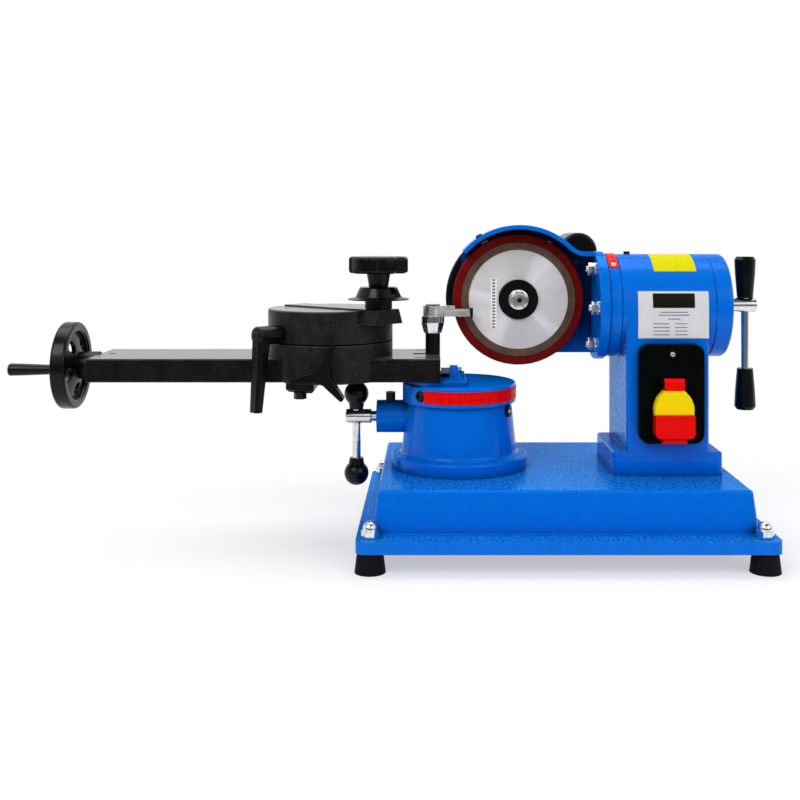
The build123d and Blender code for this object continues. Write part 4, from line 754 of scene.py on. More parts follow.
@dataclass(frozen=True)
class Print(Finish):
    """Printed foil or film with a faint crinkle."""

    crinkle: float = 7.0 * MM
    crinkle_depth: float = 0.1 * MM
    bump: float = 0.25
    specks: float = 220.0  # of dirt per metre
    dirt_span: Span = (0.45, 0.75)
    dirt_share: float = 0.5
    dirt_tone: float = 0.86
    rough: Span = (0.8, 1.3)
    specular: float = 0.06

    def dress(self, graph: Graph) -> None:
        """Fill the material's nodes.

        Args:
            graph: The nodes.
        """
        normal = graph.rounded(self.edge)
        waves = graph.noise(1 / self.crinkle, detail=2.0)
        dirt = graph.noise(self.specks, detail=5.0)
        dirty = graph.fade(dirt, self.dirt_span, 0.0, self.dirt_share)
        graph.surface(
            {
                "Base Color": self.toned(graph, dirty, (1.0, self.dirt_tone)),
                "Roughness": self.uneven(graph, dirt, self.rough),
                "Normal": graph.bump(waves, self.crinkle_depth, self.bump, normal),
                "Specular IOR Level": self.specular,
            }
        )


BLUE = srgb(0, 107, 217)
ENAMEL = Enamel("hammered_enamel", BLUE, 0.24, edge=1.0 * MM)
# a paler painted sheen, mostly on the column's left faces
COLUMN_ENAMEL = replace(ENAMEL, name="column_enamel", level_share=0.25, pale=(0.36, 0.66, 0.86))
TABLE_ENAMEL = replace(
    ENAMEL,
    name="table_enamel",
    level_flakes=0.0,
    level_roughness=0.6,
    level_specular=0.0,
    # a dark painted light tone: painted shade on the turntable's top
    pale=(0.0, 0.1, 0.16),
)
SMOOTH_ENAMEL = Enamel(
    "smooth_enamel",
    srgb(0, 108, 216),
    0.2,
    pebble=4.0 * MM,
    pebble_depth=0.1 * MM,
    speckle=0.16,
    head_on=0.05,
    # long reach: painted shade deep inside the guard
    crevice=45.0 * MM,
)
RUBBER = MouldedPlastic(
    "foot_rubber", srgb(14, 17, 20), 0.65, grain=0.8 * MM, grain_depth=0.06 * MM, specular=0.08
)
SEAM_BLACK = MouldedPlastic("seam_black", srgb(3, 3, 3), 0.7, specular=0.02)
PLASTIC = MouldedPlastic("gloss_black", srgb(6, 10, 11), 0.24)
KNOB_PLASTIC = replace(PLASTIC, name="knob_plastic", edge=1.4 * MM)
PLATE_PLASTIC = MouldedPlastic(
    "switch_plastic", srgb(5, 6, 6), 0.42, grain=0.7 * MM, grain_depth=0.03 * MM, specular=0.03
)
BLACK_PAINT = MouldedPlastic("black_paint", srgb(8, 9, 10), 0.26, grain=1.6 * MM, grain_depth=0.05 * MM)
YELLOW = MouldedPlastic("flap_yellow", srgb(250, 218, 2), 0.3, specular=0.1, polish=1.02, mottle=0.02)
RED = replace(YELLOW, name="flap_red", color=srgb(238, 2, 2))
GREEN = MouldedPlastic("button_green", srgb(20, 140, 50), 0.28, grain_depth=0.01 * MM, polish=1.1)
STEEL = BlackenedSteel("blackened_steel", srgb(14, 13, 12), 0.36, edge=0.7 * MM, rubbed=0.5, specular=0.14)
SEAT_STEEL = BlackenedSteel(
    "seat_steel",
    srgb(28, 27, 25),
    0.4,
    edge=0.8 * MM,
    speck=(0.085, 0.078, 0.07),
    level_light=(0.17, 0.17, 0.17),
    rubbed=0.6,
    specular=0.18,
)
SCREW_STEEL = BlackenedSteel(
    "screw_steel", srgb(17, 17, 17), 0.32, speck_size=0.5 * MM, level_light=(0.05, 0.05, 0.05)
)
CHROME = BrightMetal("bright_plating", (0.78, 0.78, 0.79), 0.12, edge=0.35 * MM)
SATIN_NICKEL = BrightMetal("satin_nickel", (0.86, 0.85, 0.84), 0.34, edge=0.4 * MM)
ZINC = BrightMetal("zinc_plating", (0.68, 0.68, 0.67), 0.22, edge=0.3 * MM)
BOLT_PLATING = BrightMetal("bolt_plating", (0.9, 0.9, 0.88), 0.2, edge=0.4 * MM, scratch_depth=0.001 * MM)
GROUND_STEEL = BrightMetal("ground_steel", (0.52, 0.52, 0.53), 0.3, edge=0.3 * MM)
CORE_METAL = TurnedMetal("turned_aluminium", (0.86, 0.825, 0.805), 0.34)
RED_FOIL = Print("red_foil", srgb(240, 6, 8), 0.3)
WHITE_FILM = Print("white_film", srgb(218, 220, 222), 0.4)
STRIP_FILM = Print("strip_film", srgb(255, 255, 255), 0.3)
DARK_FILM = Print("dark_film", srgb(24, 22, 12), 0.35)
GREY_PRINT = Print("grey_print", srgb(120, 124, 128), 0.5, edge=0.02 * MM)
YELLOW_FILM = Print("yellow_film", srgb(216, 208, 8), 0.5, specular=0.02)
PRINT_DARK_RED = Print("scale_print", srgb(160, 6, 6), 0.5, edge=0.02 * MM)
WHITE_PRINT = Print("white_print", srgb(225, 225, 225), 0.4, edge=0.02 * MM)
ABRASIVE = Grit("abrasive_grains", srgb(104, 82, 64), 0.85, grain=0.4 * MM, grain_depth=0.06 * MM)
RESIN = Grit(
    "rim_resin",
    srgb(122, 6, 2),
    0.6,
    grain=0.4 * MM,
    grain_depth=0.03 * MM,
    light=srgb(150, 18, 8),
    light_share=0.3,
)


def middle_of(node: str) -> Vector:
    """Give the middle of a node's box."""
    low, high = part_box(node)
    return (Vector(low) + Vector(high)) / 2


def new_piece(name: str, shape: Shape, finish: Finish, body: str) -> bpy.types.Object:
    """Make an object that moves with a body.

    Args:
        name: The piece's name.
        shape: Its mesh, which is used up.
        finish: Its finish.
        body: The body that it rides on.

    Returns:
        The new object.
    """
    bmesh.ops.recalc_face_normals(shape, faces=shape.faces)
    mesh = bpy.data.meshes.new(name)
    shape.to_mesh(mesh)
    shape.free()
    mesh.materials.append(finish.material())
    mesh.set_sharp_from_angle(angle=math.radians(SHARP_EDGE))
    piece = bpy.data.objects.new(name, mesh)
    bpy.context.scene.collection.objects.link(piece)
    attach(piece, body)
    LOG.info("%s rides on %s", name, body)
    return piece


def ring_of(points: int) -> list[tuple[float, float]]:
    """Give points of a unit circle.

    Args:
        points: How many.

    Returns:
        Pairs of cosine and sine.
    """
    return [(math.cos(2 * math.pi * k / points), math.sin(2 * math.pi * k / points)) for k in range(points)]


def frame_on(axis: Vector) -> Matrix:
    """Give the turn that takes +Z to an axis."""
    return UP.rotation_difference(axis).to_matrix()


def skin(shape: Shape, rings: Sequence[Sequence[Vector]], loop: bool = False) -> None:
    """Add a closed body through rings of points.

    Args:
        shape: The mesh that gets it.
        rings: Rings with equal numbers of points, from one end to the other.
        loop: Whether the last ring joins the first, instead of both being capped.
    """
    rows = [[shape.verts.new(point) for point in ring] for ring in rings]
    for row, following in zip(rows, rows[1:] + rows[:1] if loop else rows[1:]):
        for k in range(len(row)):
            after = (k + 1) % len(row)
            shape.faces.new((row[k], row[after], following[after], following[k]))
    if not loop:
        shape.faces.new(list(reversed(rows[0])))
        shape.faces.new(rows[-1])


def lathe(
    shape: Shape, foot: Vector, axis: Vector, outline: Sequence[Span], sides: int = 48, loop: bool = False
) -> None:
    """Add a closed turned body.

    Args:
        shape: The mesh that gets it.
        foot: Where the outline's level 0 lies.
        axis: Unit vector of the body's axis.
        outline: Pairs of radius and level, from one end of the axis to the other.
        sides: How many sides a ring has.
        loop: Whether the outline closes on itself, for a body with a hole.
    """
    turn = frame_on(axis)
    rings = []
    for radius, level in outline:
        rings.append([foot + turn @ Vector((radius * c, radius * s, level)) for c, s in ring_of(sides)])
    skin(shape, rings, loop)


def steps_between(ends: Span, steps: int = 24) -> list[float]:
    """Give evenly spaced values.

    Args:
        ends: The first and the last value.
        steps: How many steps lie between them.

    Returns:
        The values.
    """
    return [ends[0] + k / steps * (ends[1] - ends[0]) for k in range(steps + 1)]


def sheet_on(shape: Shape, feet: Sequence[Foot], sides: Span, thick: float, under: float = 0.0) -> None:
    """Add a thin sheet on a surface that runs along X.

    Args:
        shape: The mesh that gets it.
        feet: Points of the surface across X, with the normals there.
        sides: The sheet's two ends along X, from the points.
        thick: Its thickness.
        under: How high above the surface it lies.
    """
    rings = []
    for point, normal in feet:
        low, high = (point + normal * under + RIGHT * side for side in sides)
        rings.append((low, high, high + normal * thick, low + normal * thick))
    skin(shape, rings)


@dataclass(frozen=True)
class ButtonScrew:
    """Domed screw head with a hexagonal socket."""

    radius: float
    height: float
    socket: float  # radius of the socket's corners
    sunk: float = 0.2 * MM  # how deep its foot lies in the surface
    socket_floor: float = 0.35  # share of the height
    sides: int = 36
    levels: int = 6

    def add(self, shape: Shape, seat: Vector, axis: Vector) -> None:
        """Add the head to a mesh.

        Args:
            shape: The mesh.
            seat: Where the screw's axis meets the surface.
            axis: Unit vector out of the surface.
        """
        rings = []
        for angle in steps_between((0.0, math.pi / 2), self.levels - 1):
            size = self.socket + (self.radius - self.socket) * math.cos(angle)
            rise = self.height * math.sin(angle)
            rings.append([Vector((size * c, size * s, rise)) for c, s in ring_of(self.sides)])
        corners = [Vector((*corner, 0)) * self.socket for corner in ring_of(6)]
        flat = self.sides // 6
        mouth = []
        for k in range(self.sides):
            corner, part = divmod(k, flat)
            mouth.append(corners[corner].lerp(corners[(corner + 1) % 6], part / flat))
        for share in (1.0, self.socket_floor):
            rings.append([point + UP * share * self.height for point in mouth])
        turn = frame_on(axis)
        foot = seat - axis * self.sunk
        skin(shape, [[foot + turn @ point for point in ring] for ring in rings])

    def put(self, name: str, seats: Sequence[Foot], finish: Finish, body: str, slot: str) -> None:
        """Make a piece of such heads.

        Args:
            name: The piece's name.
            seats: Where the heads sit, with the way out of the surface.
            finish: The piece's finish.
            body: The body that it rides on.
            slot: Not used; it names a material slot of the record.
        """
        shape = bmesh.new()
        for seat, axis in seats:
            self.add(shape, seat, axis)
        new_piece(name, shape, finish, body)


@dataclass(frozen=True)
class StudNut:
    """Hexagon nut on a washer, with the end of its stud."""

    flats: float
    height: float
    stud: float  # how far the stud stands out of the nut
    washer_t: float = 0.14  # shares of the width across flats
    washer_r: float = 0.64
    stud_r: float = 0.3
    rings: tuple[Span, ...] = ((0.94, 0.0), (1.0, 0.12), (1.0, 0.86), (0.88, 1.0))  # sizes and levels
    stud_foot: float = 0.2  # share of the nut's height
    stud_edge: float = 0.8  # share of the stud's length
    stud_tip: float = 0.75  # share of its radius

    def add(self, shape: Shape, seat: Vector, axis: Vector) -> None:
        """Add the nut, its washer and the stud to a mesh.

        Args:
            shape: The mesh.
            seat: Middle of the face that the washer sits on.
            axis: Unit vector out of that face.
        """
        washer = self.washer_t * self.flats
        washer_r = self.washer_r * self.flats
        stud_r = self.stud_r * self.flats
        corner = self.flats / math.sqrt(3)
        top = washer + self.height
        lathe(shape, seat, axis, ((washer_r, 0.0), (washer_r, washer), (stud_r, washer)))
        nut = [(size * corner, washer + level * self.height) for size, level in self.rings]
        lathe(shape, seat, axis, nut, sides=6)
        stud = (
            (stud_r, top - self.stud_foot * self.height),
            (stud_r, top + self.stud_edge * self.stud),
            (self.stud_tip * stud_r, top + self.stud),
        )
        lathe(shape, seat, axis, stud)


@dataclass
class Drum:
    """A round surface that marks are wrapped on."""

    middle: Vector
    axis: Vector
    zero: Vector
    radius: float
    font_share: float = 1.4  # size of the font over the height of its figures

    def outward(self, turn: float) -> Vector:
        """Give the unit vector away from the axis at a turn in degrees."""
        return Matrix.Rotation(math.radians(turn), 3, self.axis) @ self.zero

    def point(self, turn: float, along: float, out: float = 0.0) -> Vector:
        """Give a point of the surface.

        Args:
            turn: Angle from the zero direction, in degrees.
            along: Distance along the axis from the middle.
            out: Height above the surface.

        Returns:
            The point.
        """
        return self.middle + self.axis * along + self.outward(turn) * (self.radius + out)

    def mark(self, shape: Shape, turn: float, ends: Span, width: float, proud: float) -> None:
        """Add a raised line along the axis.

        Args:
            shape: The mesh that gets it.
            turn: Where it lies, in degrees.
            ends: Its two ends along the axis.
            width: Its width.
            proud: Its height.
        """
        half = math.degrees(width / 2 / self.radius)
        low, high = sorted(ends)
        places = ((turn - half, low), (turn + half, low), (turn + half, high), (turn - half, high))
        skin(shape, [[self.point(*place, lift) for place in places] for lift in (0.0, proud)])

    def number(self, shape: Shape, text: str, turn: float, along: float, height: float, proud: float) -> None:
        """Add a raised number, upright along the axis.

        Args:
            shape: The mesh that gets it.
            text: The number.
            turn: Where its middle lies, in degrees.
            along: Where its foot lies along the axis.
            height: Height of its figures.
            proud: Their relief.
        """
        curve = bpy.data.curves.new("figures", "FONT")
        curve.body = text
        curve.align_x = "CENTER"
        curve.size = height * self.font_share
        curve.extrude = proud / 2
        holder = bpy.data.objects.new("figures", curve)
        mesh = bpy.data.meshes.new_from_object(holder)
        bpy.data.objects.remove(holder)
        bpy.data.curves.remove(curve)
        start = len(shape.verts)
        shape.from_mesh(mesh)
        bpy.data.meshes.remove(mesh)
        shape.verts.ensure_lookup_table()
        for vert in shape.verts[start:]:
            across = math.degrees(vert.co.x / self.radius)
            vert.co = self.point(turn + across, along + vert.co.y, vert.co.z + proud / 2)


@dataclass
class Scale:
    """Lines and numbers of a scale plate."""

    from_turn: float
    to_turn: float
    step: float = 2.0
    zero: float = 90.0  # the turn that the number 0 stands at
    line: float = 0.35 * MM
    proud: float = 0.06 * MM
    short: float = 2.2 * MM
    middle: float = 3.2 * MM
    long: float = 4.4 * MM
    middle_every: int = 5
    long_every: int = 10
    figure: float = 3.0 * MM
    gap: float = 0.8 * MM  # between a long line and its number

    def draw(self, shape: Shape, drum: Drum, edge: float, inward: float) -> None:
        """Draw the lines from one edge and the numbers beside them.

        Args:
            shape: The mesh that gets them.
            drum: The surface.
            edge: Where the lines start along the drum's axis.
            inward: 1 or -1, the way that the lines run along the axis.
        """
        count = int(round((self.to_turn - self.from_turn) / self.step))
        for turn in steps_between((self.from_turn, self.from_turn + count * self.step), count):
            value = round((turn - self.zero) / self.step) * self.step
            numbered = value % self.long_every == 0
            reach = self.long if numbered else self.middle if value % self.middle_every == 0 else self.short
            drum.mark(shape, turn, (edge, edge + inward * reach), self.line, self.proud)
            if numbered:
                foot = edge + inward * (self.long + self.gap) - (self.figure if inward < 0 else 0.0)
                drum.number(shape, str(int(abs(value))), turn, foot, self.figure, self.proud)


@dataclass
class ScenePart:
    """Base of the sub-assemblies and of the studio: the frame and ways to look into it."""

    frame: Frame

    def dress(self, finish: Finish, *nodes: str) -> None:
        """Give nodes of the frame a finish.

        Args:
            finish: The finish.
            nodes: Names of the nodes.
        """
        for name in nodes:
            piece = self.frame["nodes"][name]
            if not piece.material_slots:
                piece.data.materials.append(finish.material())
            for slot in piece.material_slots:
                slot.material = finish.material()
            LOG.info("%s has %s", name, finish.name)

    def joint(self, name: str) -> tuple[Vector, Vector]:
        """Give a point and the direction of a joint's axis."""
        joint = next(joint for joint in self.frame["joints"] if joint["name"] == name)
        return Vector(joint["pos_m"]), Vector(joint["axis"])

    def touch(self, node: str, start: Vector, way: Vector) -> Foot:
        """Find where a straight line first meets a node.

        Args:
            node: The node's name.
            start: Where the line starts.
            way: Unit vector along the line.

        Returns:
            The point and the surface's normal there.
        """
        piece = self.frame["nodes"][node]
        points = [piece.matrix_world @ vert.co for vert in piece.data.vertices]
        tree = BVHTree.FromPolygons(points, [tuple(face.vertices) for face in piece.data.polygons])
        point, normal, _, _ = tree.ray_cast(start, way)
        return point, normal

    def solids_of(self, node: str) -> list[tuple[Vector, Vector]]:
        """Find the separate solids of a node.

        Args:
            node: The node's name.

        Returns:
            The lowest and highest corner of each.
        """
        piece = self.frame["nodes"][node]
        shape = bmesh.new()
        shape.from_mesh(piece.data)
        shape.transform(piece.matrix_world)
        bmesh.ops.remove_doubles(shape, verts=shape.verts, dist=WELD)
        boxes = []
        left = set(shape.verts)
        while left:
            reached = [left.pop()]
            for vert in reached:
                for edge in vert.link_edges:
                    other = edge.other_vert(vert)
                    if other in left:
                        left.remove(other)
                        reached.append(other)
            low = Vector([min(vert.co[k] for vert in reached) for k in range(3)])
            high = Vector([max(vert.co[k] for vert in reached) for k in range(3)])
            boxes.append((low, high))
        shape.free()
        return sorted(boxes, key=lambda box: tuple(box[0]))


@dataclass
class BaseAssembly(ScenePart):
    """Base casting, pedestal and column with what is fixed to them."""

    body: str = "base"
    film: float = 0.15 * MM
    label_x: Span = (13.7 * MM, 77.7 * MM)  # from the barrel's front end
    label_z: Span = (-27.0 * MM, 15.5 * MM)  # from the barrel's axis
    header_x: Span = (27.0 * MM, 65.0 * MM)
    header_z: Span = (0.5 * MM, 13.5 * MM)
    bar_h: float = 0.8 * MM
    heading_x: float = 46.0 * MM  # middle of the bars under the header
    heading_z: tuple[float, ...] = (-3.4 * MM, -6.0 * MM, -9.6 * MM)
    heading_w: tuple[float, ...] = (25.0 * MM, 28.0 * MM, 11.0 * MM)
    rows: int = 4
    row_z: float = -13.8 * MM
    row_step: float = 3.3 * MM
    columns: tuple[Span, ...] = ((27.0 * MM, 42.0 * MM), (47.0 * MM, 58.0 * MM))
    sticker_x: Span = (30.7 * MM, 69.7 * MM)
    sticker_turns: Span = (43.0, 84.0)  # above the level front
    pointer_turn: float = -29.0
    pointer_level: float = 54.0 * MM  # above the pedestal's foot
    pointer_r: float = 5.2 * MM
    pointer_tip: float = 6.6 * MM
    pointer_narrow: float = 0.35  # how much narrower the tip is
    pointer_sharp: int = 3  # power by which it rises to its tip
    pointer_t: float = 3.5 * MM
    pointer_sunk: float = 0.4 * MM
    pointer_edge: float = 0.5 * MM
    pointer_face: float = 0.9
    pointer_sides: int = 32
    pointer_far: float = 120.0 * MM  # where the search for its seat starts, from the turret's axis
    pointer_screw: ButtonScrew = ButtonScrew(2.4 * MM, 1.2 * MM, 1.0 * MM, sunk=0.1 * MM)

    def build(self) -> None:
        """Dress the nodes and add the pieces."""
        self.dress(ENAMEL, "base_casting", "pedestal")
        self.dress(COLUMN_ENAMEL, "column", "barrel_cap")
        self.dress(RUBBER, "rubber_feet")
        self.dress(CHROME, "acorn_nuts")
        self.dress(ZINC, "foot_bolts", "casting_bolts")
        self.dress(SCREW_STEEL, "black_screws")
        self.label()
        self.sticker()
        self.pointer()

    def barrel(self) -> tuple[Vector, float]:
        """Find the column's barrel.

        Returns:
            Its axis at its front end, and its radius.
        """
        low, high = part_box("barrel_cap")
        front, _ = self.joint("head_tilt")
        return Vector((front.x, (low[1] + high[1]) / 2, (low[2] + high[2]) / 2)), (high[1] - low[1]) / 2

    def on_barrel(self, turn: float) -> Foot:
        """Find a place of the barrel at its front end.

        Args:
            turn: Angle above the level front, in radians.

        Returns:
            The point and the normal there.
        """
        axis, radius = self.barrel()
        normal = Vector((0, -math.cos(turn), math.sin(turn)))
        return axis + normal * radius, normal

    def on_front(self, level: float) -> Foot:
        """Find the column's front, flat below the barrel's axis and round above it.

        Args:
            level: Height above the barrel's axis.

        Returns:
            The point at the barrel's front end and the normal there.
        """
        axis, radius = self.barrel()
        if level > 0:
            return self.on_barrel(math.asin(level / radius))
        return axis + FRONT * radius + UP * level, FRONT

    def patch(self, shape: Shape, levels: Span, sides: Span, layer: int = 1) -> None:
        """Add one layer of film on the column's front.

        Args:
            shape: The mesh that gets it.
            levels: Its foot and head above the barrel's axis.
            sides: Its left and right edge from the barrel's front end.
            layer: How many layers lie under it.
        """
        feet = [self.on_front(level) for level in steps_between(levels)]
        sheet_on(shape, feet, sides, self.film, layer * self.film)

    def bar(self, shape: Shape, level: float, sides: Span) -> None:
        """Add a plain bar on the label.

        Args:
            shape: The mesh that gets it.
            level: Its middle above the barrel's axis.
            sides: Its left and right edge from the barrel's front end.
        """
        self.patch(shape, (level - self.bar_h / 2, level + self.bar_h / 2), sides)

    def label(self) -> None:
        """Add the label on the column's front, with a bare header and plain bars."""
        shape = bmesh.new()
        self.patch(shape, self.label_z, self.label_x, layer=0)
        new_piece("label_plate", shape, WHITE_FILM, self.body)
        shape = bmesh.new()
        self.patch(shape, self.header_z, self.header_x)
        new_piece("label_header", shape, DARK_FILM, self.body)
        shape = bmesh.new()
        for level, width in zip(self.heading_z, self.heading_w):
            self.bar(shape, level, (self.heading_x - width / 2, self.heading_x + width / 2))
        for row in range(self.rows):
            for column in self.columns:
                self.bar(shape, self.row_z - row * self.row_step, column)
        new_piece("label_rules", shape, GREY_PRINT, self.body)

    def sticker(self) -> None:
        """Add the bare sticker on the barrel."""
        feet = [self.on_barrel(math.radians(turn)) for turn in steps_between(self.sticker_turns)]
        shape = bmesh.new()
        sheet_on(shape, feet, self.sticker_x, self.film)
        new_piece("barrel_sticker", shape, YELLOW_FILM, self.body)

    def pointer(self) -> None:
        """Add the black pointer plate under the angle scale, with its screw."""
        axis, _ = self.joint("turret_swing")
        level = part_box("pedestal")[0][2] + self.pointer_level + self.pointer_tip / 2
        turn = math.radians(self.pointer_turn)
        out = Vector((math.cos(turn), math.sin(turn), 0))
        start = Vector((axis.x, axis.y, level)) + out * self.pointer_far
        seat, normal = self.touch("pedestal", start, -out)
        side = UP.cross(normal).normalized()
        rise = normal.cross(side)
        middle = seat - rise * self.pointer_tip / 2
        outline = []
        for c, s in ring_of(self.pointer_sides):
            lift = max(s, 0.0)
            reach = self.pointer_r + (self.pointer_tip - self.pointer_r) * lift**self.pointer_sharp
            outline.append(side * c * self.pointer_r * (1 - self.pointer_narrow * lift) + rise * s * reach)
        rings = []
        for out_by, size in (
            (-self.pointer_sunk, 1.0),
            (self.pointer_t - self.pointer_edge, 1.0),
            (self.pointer_t, self.pointer_face),
        ):
            rings.append([middle + point * size + normal * out_by for point in outline])
        shape = bmesh.new()
        skin(shape, rings)
        new_piece("scale_pointer", shape, PLASTIC, self.body)
        face = middle + normal * self.pointer_t
        self.pointer_screw.put("scale_pointer_screw", [(face, normal)], ZINC, self.body, "zinc")


@dataclass
class Turret(ScenePart):
    """Turntable with its angle scale, the slide arm and the post of the tooth stop."""

    body: str = "turret"
    scale: Scale = field(default_factory=lambda: Scale(-118.0, -8.0, zero=-90.0))
    scale_edge: float = 0.4 * MM
    screw: ButtonScrew = ButtonScrew(5.3 * MM, 3.2 * MM, 2.385 * MM, sunk=1.1 * MM)
    screw_turn: float = -133.0

    def build(self) -> None:
        """Dress the nodes and add the pieces."""
        self.dress(TABLE_ENAMEL, "turntable")
        self.dress(RED_FOIL, "angle_scale")
        self.dress(STEEL, "slide_arm", "stop_post")
        self.dress(ZINC, "turret_nut", "arm_bolts", "arm_stop_bolt")
        axis, _ = self.joint("turret_swing")
        low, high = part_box("angle_scale")
        radius = max(high[0] - axis.x, axis.y - low[1])
        drum = Drum(Vector((axis.x, axis.y, 0)), UP, RIGHT, radius)
        shape = bmesh.new()
        self.scale.draw(shape, drum, high[2] - self.scale_edge, -1.0)
        new_piece("angle_scale_print", shape, PRINT_DARK_RED, self.body)
        seat = drum.point(self.screw_turn, (low[2] + high[2]) / 2), drum.outward(self.screw_turn)
        self.screw.put("angle_scale_screw", [seat], SCREW_STEEL, self.body, "dark_steel")


@dataclass
class ToothStop(ScenePart):
    """Finger that a saw tooth rests against."""

    def build(self) -> None:
        """Dress the nodes."""
        self.dress(CHROME, "finger_clamp")
        self.dress(SATIN_NICKEL, "stop_finger")
        self.dress(SCREW_STEEL, "finger_tip")


@dataclass
class LockHandle(ScenePart):
    """Handle that locks the turret."""

    def build(self) -> None:
        """Dress the nodes."""
        self.dress(CHROME, "lock_screw", "lock_bar")
        self.dress(PLASTIC, "lock_knobs")


@dataclass
class HandwheelDrive(ScenePart):
    """Handwheel, crank grip and lead screw of the carriage."""

    pitch: float = 2.5 * MM
    starts: int = 2
    thread_depth: float = 0.8 * MM
    flank: float = 1.7  # how steep the thread's flanks are
    crest: float = 0.35  # how wide its crests are
    plain_out: float = 40.0 * MM  # smooth ends of the screw
    plain_in: float = 8.0 * MM
    rows_per_pitch: int = 6
    sides: int = 24

    def build(self) -> None:
        """Dress the nodes and cut the lead screw's thread."""
        self.dress(PLASTIC, "handwheel", "crank_grip")
        self.dress(CHROME, "crank_pin")
        self.lead_screw()

    def cut(self, along: float, turn: float) -> float:
        """Give the depth of the thread at a place of the screw.

        Args:
            along: Distance along the screw.
            turn: Angle about the screw, in radians.

        Returns:
            How far the surface lies under the crest.
        """
        wave = 0.5 - 0.5 * math.cos(2 * math.pi * along / self.pitch - self.starts * turn)
        return self.thread_depth * min(1.0, max(0.0, self.flank * wave - self.crest))

    def lead_screw(self) -> None:
        """Put a screw with a real thread in the smooth rod's place."""
        low, high = (Vector(corner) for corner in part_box("lead_screw"))
        middle = (low + high) / 2
        radius = (high.z - low.z) / 2
        length = high.x - low.x
        count = int((length - self.plain_out - self.plain_in) / self.pitch) * self.rows_per_pitch
        step = self.pitch / self.rows_per_pitch
        levels = [0.0, *(self.plain_out + k * step for k in range(count + 1)), length]
        rings = []
        for place, level in enumerate(levels):
            ring = []
            for k, (c, s) in enumerate(ring_of(self.sides)):
                smooth = place < 2 or place > count
                reach = radius - (0.0 if smooth else self.cut(level, 2 * math.pi * k / self.sides))
                ring.append(Vector((low.x + level, middle.y + reach * c, middle.z + reach * s)))
            rings.append(ring)
        shape = bmesh.new()
        skin(shape, rings)
        piece = new_piece("lead_screw_thread", shape, GROUND_STEEL, "arm_handwheel")
        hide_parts("lead_screw")


@dataclass
class BladeSeat(ScenePart):
    """Carriage with the turning seat, the blade's stud and their clamps."""

    seam: float = 1.0 * MM
    seam_proud: float = 0.06 * MM
    seam_sides: int = 96
    lever_screw: ButtonScrew = ButtonScrew(4.4 * MM, 1.3 * MM, 2.0 * MM)
    lever_far: float = 100.0 * MM  # where the search for the lever's end starts, from its hinge

    def build(self) -> None:
        """Dress the nodes and add the pieces."""
        self.dress(SEAT_STEEL, "carriage", "rotary_disc", "slide_bar")
        self.dress(STEEL, "keeper_bar", "blade_stud")
        self.dress(SCREW_STEEL, "keeper_bolts")
        self.dress(GROUND_STEEL, "lead_nut")
        self.dress(PLASTIC, "centring_cone")
        self.dress(KNOB_PLASTIC, "carriage_knob", "star_knob", "clamp_lever")
        self.seat_seam()
        hinge, out = self.joint("clamp_lever_turn")
        seat = self.touch("clamp_lever", hinge + out * self.lever_far, -out)
        self.lever_screw.put("lever_screw", [seat], SCREW_STEEL, "seat_lever", "dark_steel")

    def seat_seam(self) -> None:
        """Add the dark seam between the turning seat and the carriage."""
        axis, _ = self.joint("rotary_seat_turn")
        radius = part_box("rotary_disc")[1][0] - axis.x
        outer = radius + self.seam_proud
        inner = radius - self.seam
        outline = ((inner, 0.0), (outer, 0.0), (outer, self.seam), (inner, self.seam))
        shape = bmesh.new()
        lathe(shape, axis, UP, outline, self.seam_sides, loop=True)
        new_piece("seat_seam", shape, SEAM_BLACK, "rotary_seat")


